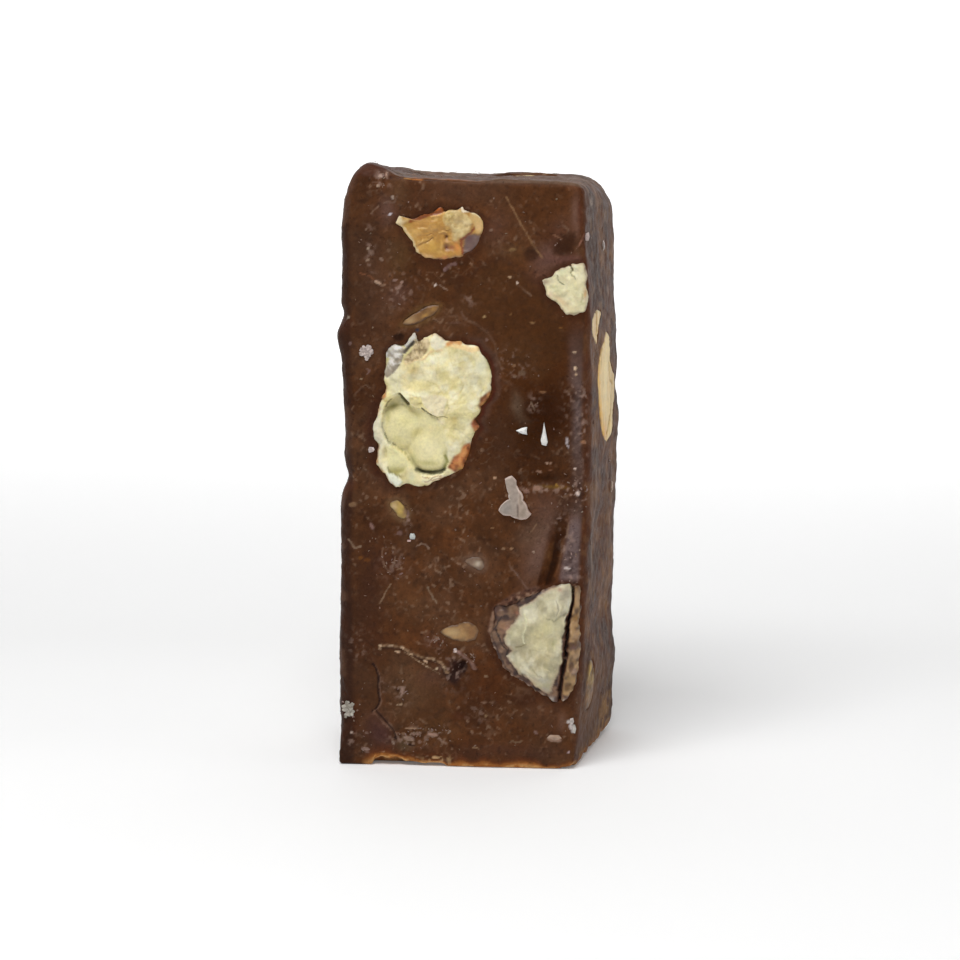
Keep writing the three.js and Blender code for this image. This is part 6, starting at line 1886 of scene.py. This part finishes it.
# A shard as a low roof over its outline.
def shard(corners, colour):
    u, v = np.array(corners).T
    rings = []
    for size, lift in ((1.0, -0.1), (0.9, 0.12), (0.35, 0.3)):
        ring_u, ring_v = mix(u.mean(), u, size), mix(v.mean(), v, size)
        place, out = on_face("front", ring_u, ring_v)
        rings.append(place + out * lift)
    centre, out = on_face("front", np.array([u.mean()]), np.array([v.mean()]))
    points = np.concatenate(rings + [centre + out * 0.32, centre - out * 0.2])
    count = len(u)
    faces = []
    for k in range(count):
        after = (k + 1) % count
        faces.append((3 * count, 2 * count + k, 2 * count + after))
        faces.append((3 * count + 1, after, k))
        for ring in (0, count):
            faces.append((ring + k, ring + after, ring + count + after))
            faces.append((ring + k, ring + count + after, ring + count + k))
    return points, np.array(faces), linear(colour)


CLUSTER_FROM = 0.8  # sugar at least this far across is a cluster of grains round a core
GRAINS = {True: 34, False: 3}  # in a cluster, and in a small lump
TONES = {True: (-34, 26), False: (-14, 10)}
CORE_TONE = -26


def crystals_piece():
    rng = np.random.default_rng(7)
    parts = []
    for face, u, v, ru, rv, colour in CRYSTALS:
        place, out = on_face(face, np.array([u]), np.array([v]))
        across, up, _ = face_axes(face)
        cluster = min(ru, rv) >= CLUSTER_FROM
        for k in range(GRAINS[cluster]):
            spread = 0.85 if cluster and k > 0 else 0.35
            turn, far = rng.uniform(0, 2 * math.pi), spread * math.sqrt(rng.random()) * (k > 0)
            centre = place[0] + across * far * ru * math.cos(turn) + up * far * rv * math.sin(turn)
            centre = centre + out * (0.12 * (k > 0) if cluster else 0.05 * k)
            size = np.array([ru, rv, 0.32 * min(ru, rv) + 0.1])
            if cluster:
                size = 0.26 * size if k > 0 else np.array([0.8 * ru, 0.8 * rv, 0.22])
            elif k > 0:
                size = 0.6 * size
            axes = turned_axes(face, rng.uniform(0, 3) * cluster)
            p, f = lump_mesh(rng, centre, size, axes, 0.22)
            tone = rng.uniform(*TONES[cluster])
            if cluster and k == 0:
                tone = CORE_TONE
            parts.append((p, f, linear(np.clip(np.array(colour) + tone, 0, 255))))
    parts.extend(shard(corners, colour) for corners, colour in SHARDS)
    obj = new_object("sugar_crystals", *joined(parts), flat=True)
    obj.data.materials.append(SUGAR)
    return obj


FLAKE = [
    (4.1, 37.5), (4.95, 37.9), (5.55, 37.25), (5.5, 36.75), (5.9, 36.1), (6.4, 34.8), (7.0, 33.65),
    (7.45, 33.1), (6.9, 32.5), (6.15, 32.4), (4.8, 32.85), (3.9, 32.9), (3.3, 33.5), (4.0, 34.5),
    (4.7, 34.9), (4.6, 35.6), (4.3, 36.5),
]


def flake_piece():
    middle, _, _ = outline(FLAKE)
    spokes, rings = 120, 16
    angle = np.linspace(-math.pi, math.pi, spokes, endpoint=False)
    corners = np.array(FLAKE)
    away = corners - middle
    around = np.arctan2(away[:, 1], away[:, 0])
    order = np.argsort(around)
    rim = np.interp(angle, around[order], np.hypot(*away[order].T), period=2 * math.pi)
    u, v, edge = disc(middle, angle, rim, rings)
    surface, out = on_face("front", u, v)
    lift = 0.34 + 0.1 * noise(surface, 1.5, 101, 2) + 0.16 * smooth(36.0, 33.0, v)
    lift -= 0.25 * (edge < 0.01)
    # A fold runs up from its foot, and the part to the right of it stands higher.
    from_fold = u - 5.8
    fold = 1 - smooth(34.0, 34.6, v)
    lift += 0.12 * smooth(-0.1, 0.1, from_fold) - 0.2 * bump(from_fold, 0.12) * fold
    paint = Paint(len(u), (166, 151, 139))
    paint.lay((178, 158, 144), 0.8 * smooth(-0.1, 0.15, from_fold))
    paint.lay((110, 92, 78), 0.8 * bump(from_fold, 0.1) * fold)
    paint.lay((150, 142, 134), 0.8 * spot(u, v, 4.3, 33.8, 0.8, 0.8))
    paint.lay((150, 134, 118), 0.7 * smooth(0.0, 0.5, noise(surface, 0.9, 102, 2)))
    paint.lay((226, 204, 192), 0.9 * (1 - smooth(0.05, 0.25, edge)))
    top = surface + out * lift[:, None]
    bottom = surface - out * 0.3
    points = np.concatenate([top, bottom])
    half = len(top)
    faces = cap(spokes, 0, half - 1) + cap(spokes, half, 2 * half - 1, under=True)
    for r in range(rings - 1):
        quads = between(spokes, r * spokes, (r + 1) * spokes)
        faces += quads + [[k + half for k in reversed(quad)] for quad in quads]
    last = (rings - 1) * spokes
    faces += between(spokes, last, half + last)
    colour = np.concatenate([paint.rgb, paint.rgb])
    obj = new_object("sugar_flake", points, faces, colour)
    obj.data.materials.append(SUGAR)
    return obj


# Fine specks over each face: from and to across, from and to up, how many.
SPECKS = {
    "front": (-15.0, 14.0, 1.5, 74.0, 260),
    "back": (-15.5, 16.0, 1.5, 73.5, 420),
    "right": (-9.5, 9.5, 1.5, 72.0, 260),
    "left": (-9.0, 9.5, 1.5, 72.0, 260),
    "top": (-15.0, 13.5, -9.0, 9.5, 160),
}
# Closer specks in the crumbly places: face, middle, spread across and up, how many.
SPECK_CLUSTERS = [
    ("front", 13.2, 36.2, 1.1, 1.2, 22), ("front", -9.2, 9.8, 0.5, 0.8, 12),
    ("front", 0.0, 14.4, 0.5, 0.5, 10), ("front", -15.8, 7.0, 0.6, 0.9, 16),
    ("front", -4.6, 16.4, 0.6, 0.4, 14), ("front", -7.8, 4.2, 2.2, 0.8, 26),
    ("front", -5.0, 4.8, 1.1, 0.3, 16), ("front", -8.0, 33.0, 0.3, 0.6, 8),
    ("front", 12.4, 28.0, 0.6, 3.0, 20), ("front", -10.4, 26.6, 0.9, 0.8, 14),
    ("front", -11.0, 75.0, 0.35, 0.5, 10),
]


def specks_piece():
    rng = np.random.default_rng(11)
    parts = []

    def scatter(face, u, v, low, high, tint, lift, margin):
        keep = clear_of_nuts(face, u, v, margin)
        places, out = on_face(face, u[keep], v[keep])
        for place in places:
            size = rng.uniform(low, high) * (1 + 0.8 * (rng.random() < 0.06))
            half = size * rng.uniform((0.9, 0.6, 0.35), (2.2, 1.1, 0.6))
            axes = turned_axes(face, rng.uniform(0, math.pi))
            p, f = lump_mesh(rng, place + out * lift, half, axes, 0.45)
            colour = np.array(tint) + rng.uniform(-18, 18) + rng.uniform(-5, 5, 3)
            parts.append((p, f, linear(colour)))

    for face, (u0, u1, v0, v1, count) in SPECKS.items():
        u = rng.uniform(u0, u1, count)
        v = rng.uniform(v0, v1, count)
        scatter(face, u, v, 0.04, 0.10, (118, 90, 74), 0.02, 0.3)
    for face, cu, cv, ru, rv, count in SPECK_CLUSTERS:
        u = rng.normal(cu, ru, count)
        v = rng.normal(cv, rv, count)
        scatter(face, u, v, 0.06, 0.12, (134, 106, 92), 0.02, 0.1)
    obj = new_object("sugar_specks", *joined(parts), flat=True)
    obj.data.materials.append(SUGAR)
    return obj


# ---------------------------------------------------------------- the object
for nougat in nougat_pieces():
    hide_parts("nougat")
    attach(nougat, "root")

for node_name in NUTS:
    nut = nut_piece(node_name)
    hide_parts(node_name)
    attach(nut, "root")

for extra in (crystals_piece(), flake_piece(), specks_piece()):
    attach(extra, "root")


# ---------------------------------------------------------------- floor, light and camera
def floor_piece():
    # A sheet that runs back from the object and curves up behind it.
    width, near, far, bend, tall = 1600.0, -700.0, 700.0, 250.0, 900.0
    profile = [(near, 0.0), (far - bend, 0.0)]
    profile += [
        (far - bend + bend * math.sin(a), bend - bend * math.cos(a))
        for a in np.linspace(0, math.pi / 2, 14)[1:]
    ]
    profile.append((far, tall))
    points = [(side * width, y, z - 0.02) for y, z in profile for side in (-1, 1)]
    faces = [(2 * k, 2 * k + 1, 2 * k + 3, 2 * k + 2) for k in range(len(profile) - 1)]
    obj = new_object("backdrop", points, faces)
    m = Nodes("backdrop")
    m.link(m.range(m.noise(60, 2), 0.3, 0.7, 0.66, 0.74), m.shader.inputs["Roughness"])
    m.shader.inputs["Base Color"].default_value = (0.9, 0.9, 0.9, 1)
    m.shader.inputs["Specular IOR Level"].default_value = 0.1
    # The far part is lit on its own, as a studio's background is.
    apart = m.tree.nodes.new("ShaderNodeSeparateXYZ")
    m.link(m.place, apart.inputs[0])
    m.shader.inputs["Emission Color"].default_value = (1, 1, 1, 1)
    glow = m.range(apart.outputs["Y"], 60 * MM, 420 * MM, 0.1, 0.75)
    m.link(glow, m.shader.inputs["Emission Strength"])
    obj.data.materials.append(m.material)
    return obj


floor_piece()

scene = bpy.context.scene
scene.view_settings.view_transform = "Standard"
world = bpy.data.worlds.new("studio")
scene.world = world
world.use_nodes = True
world.node_tree.nodes["Background"].inputs["Color"].default_value = (1, 1, 1, 1)
world.node_tree.nodes["Background"].inputs["Strength"].default_value = 0.15


def area_light(name, place, aim, width, tall, power):
    data = bpy.data.lights.new(name, "AREA")
    data.shape = "RECTANGLE"
    data.size, data.size_y = width * MM, tall * MM
    data.energy = power
    obj = bpy.data.objects.new(name, data)
    obj.location = Vector(place) * MM
    obj.rotation_euler = (Vector(aim) - Vector(place)).to_track_quat("-Z", "Y").to_euler()
    scene.collection.objects.link(obj)
    return obj


area_light("top", (-60, -180, 360), (0, 0, 40), 240, 200, 1.25)
area_light("right", (330, -20, 150), (0, 0, 40), 140, 240, 0.12)

AZIMUTH, ELEVATION, DISTANCE = math.radians(5), math.radians(9.3), 346.8
AIM = Vector((0, 0, 35.5))
back_to_camera = Vector((
    math.sin(AZIMUTH) * math.cos(ELEVATION),
    -math.cos(AZIMUTH) * math.cos(ELEVATION),
    math.sin(ELEVATION),
))
camera_data = bpy.data.cameras.new("camera")
camera_data.lens = 100
camera_data.sensor_width = 36
camera_data.clip_start, camera_data.clip_end = 0.01, 10
camera = bpy.data.objects.new("camera", camera_data)
camera.location = (AIM + back_to_camera * DISTANCE) * MM
camera.rotation_euler = (-back_to_camera).to_track_quat("-Z", "Y").to_euler()
scene.collection.objects.link(camera)
scene.camera = camera
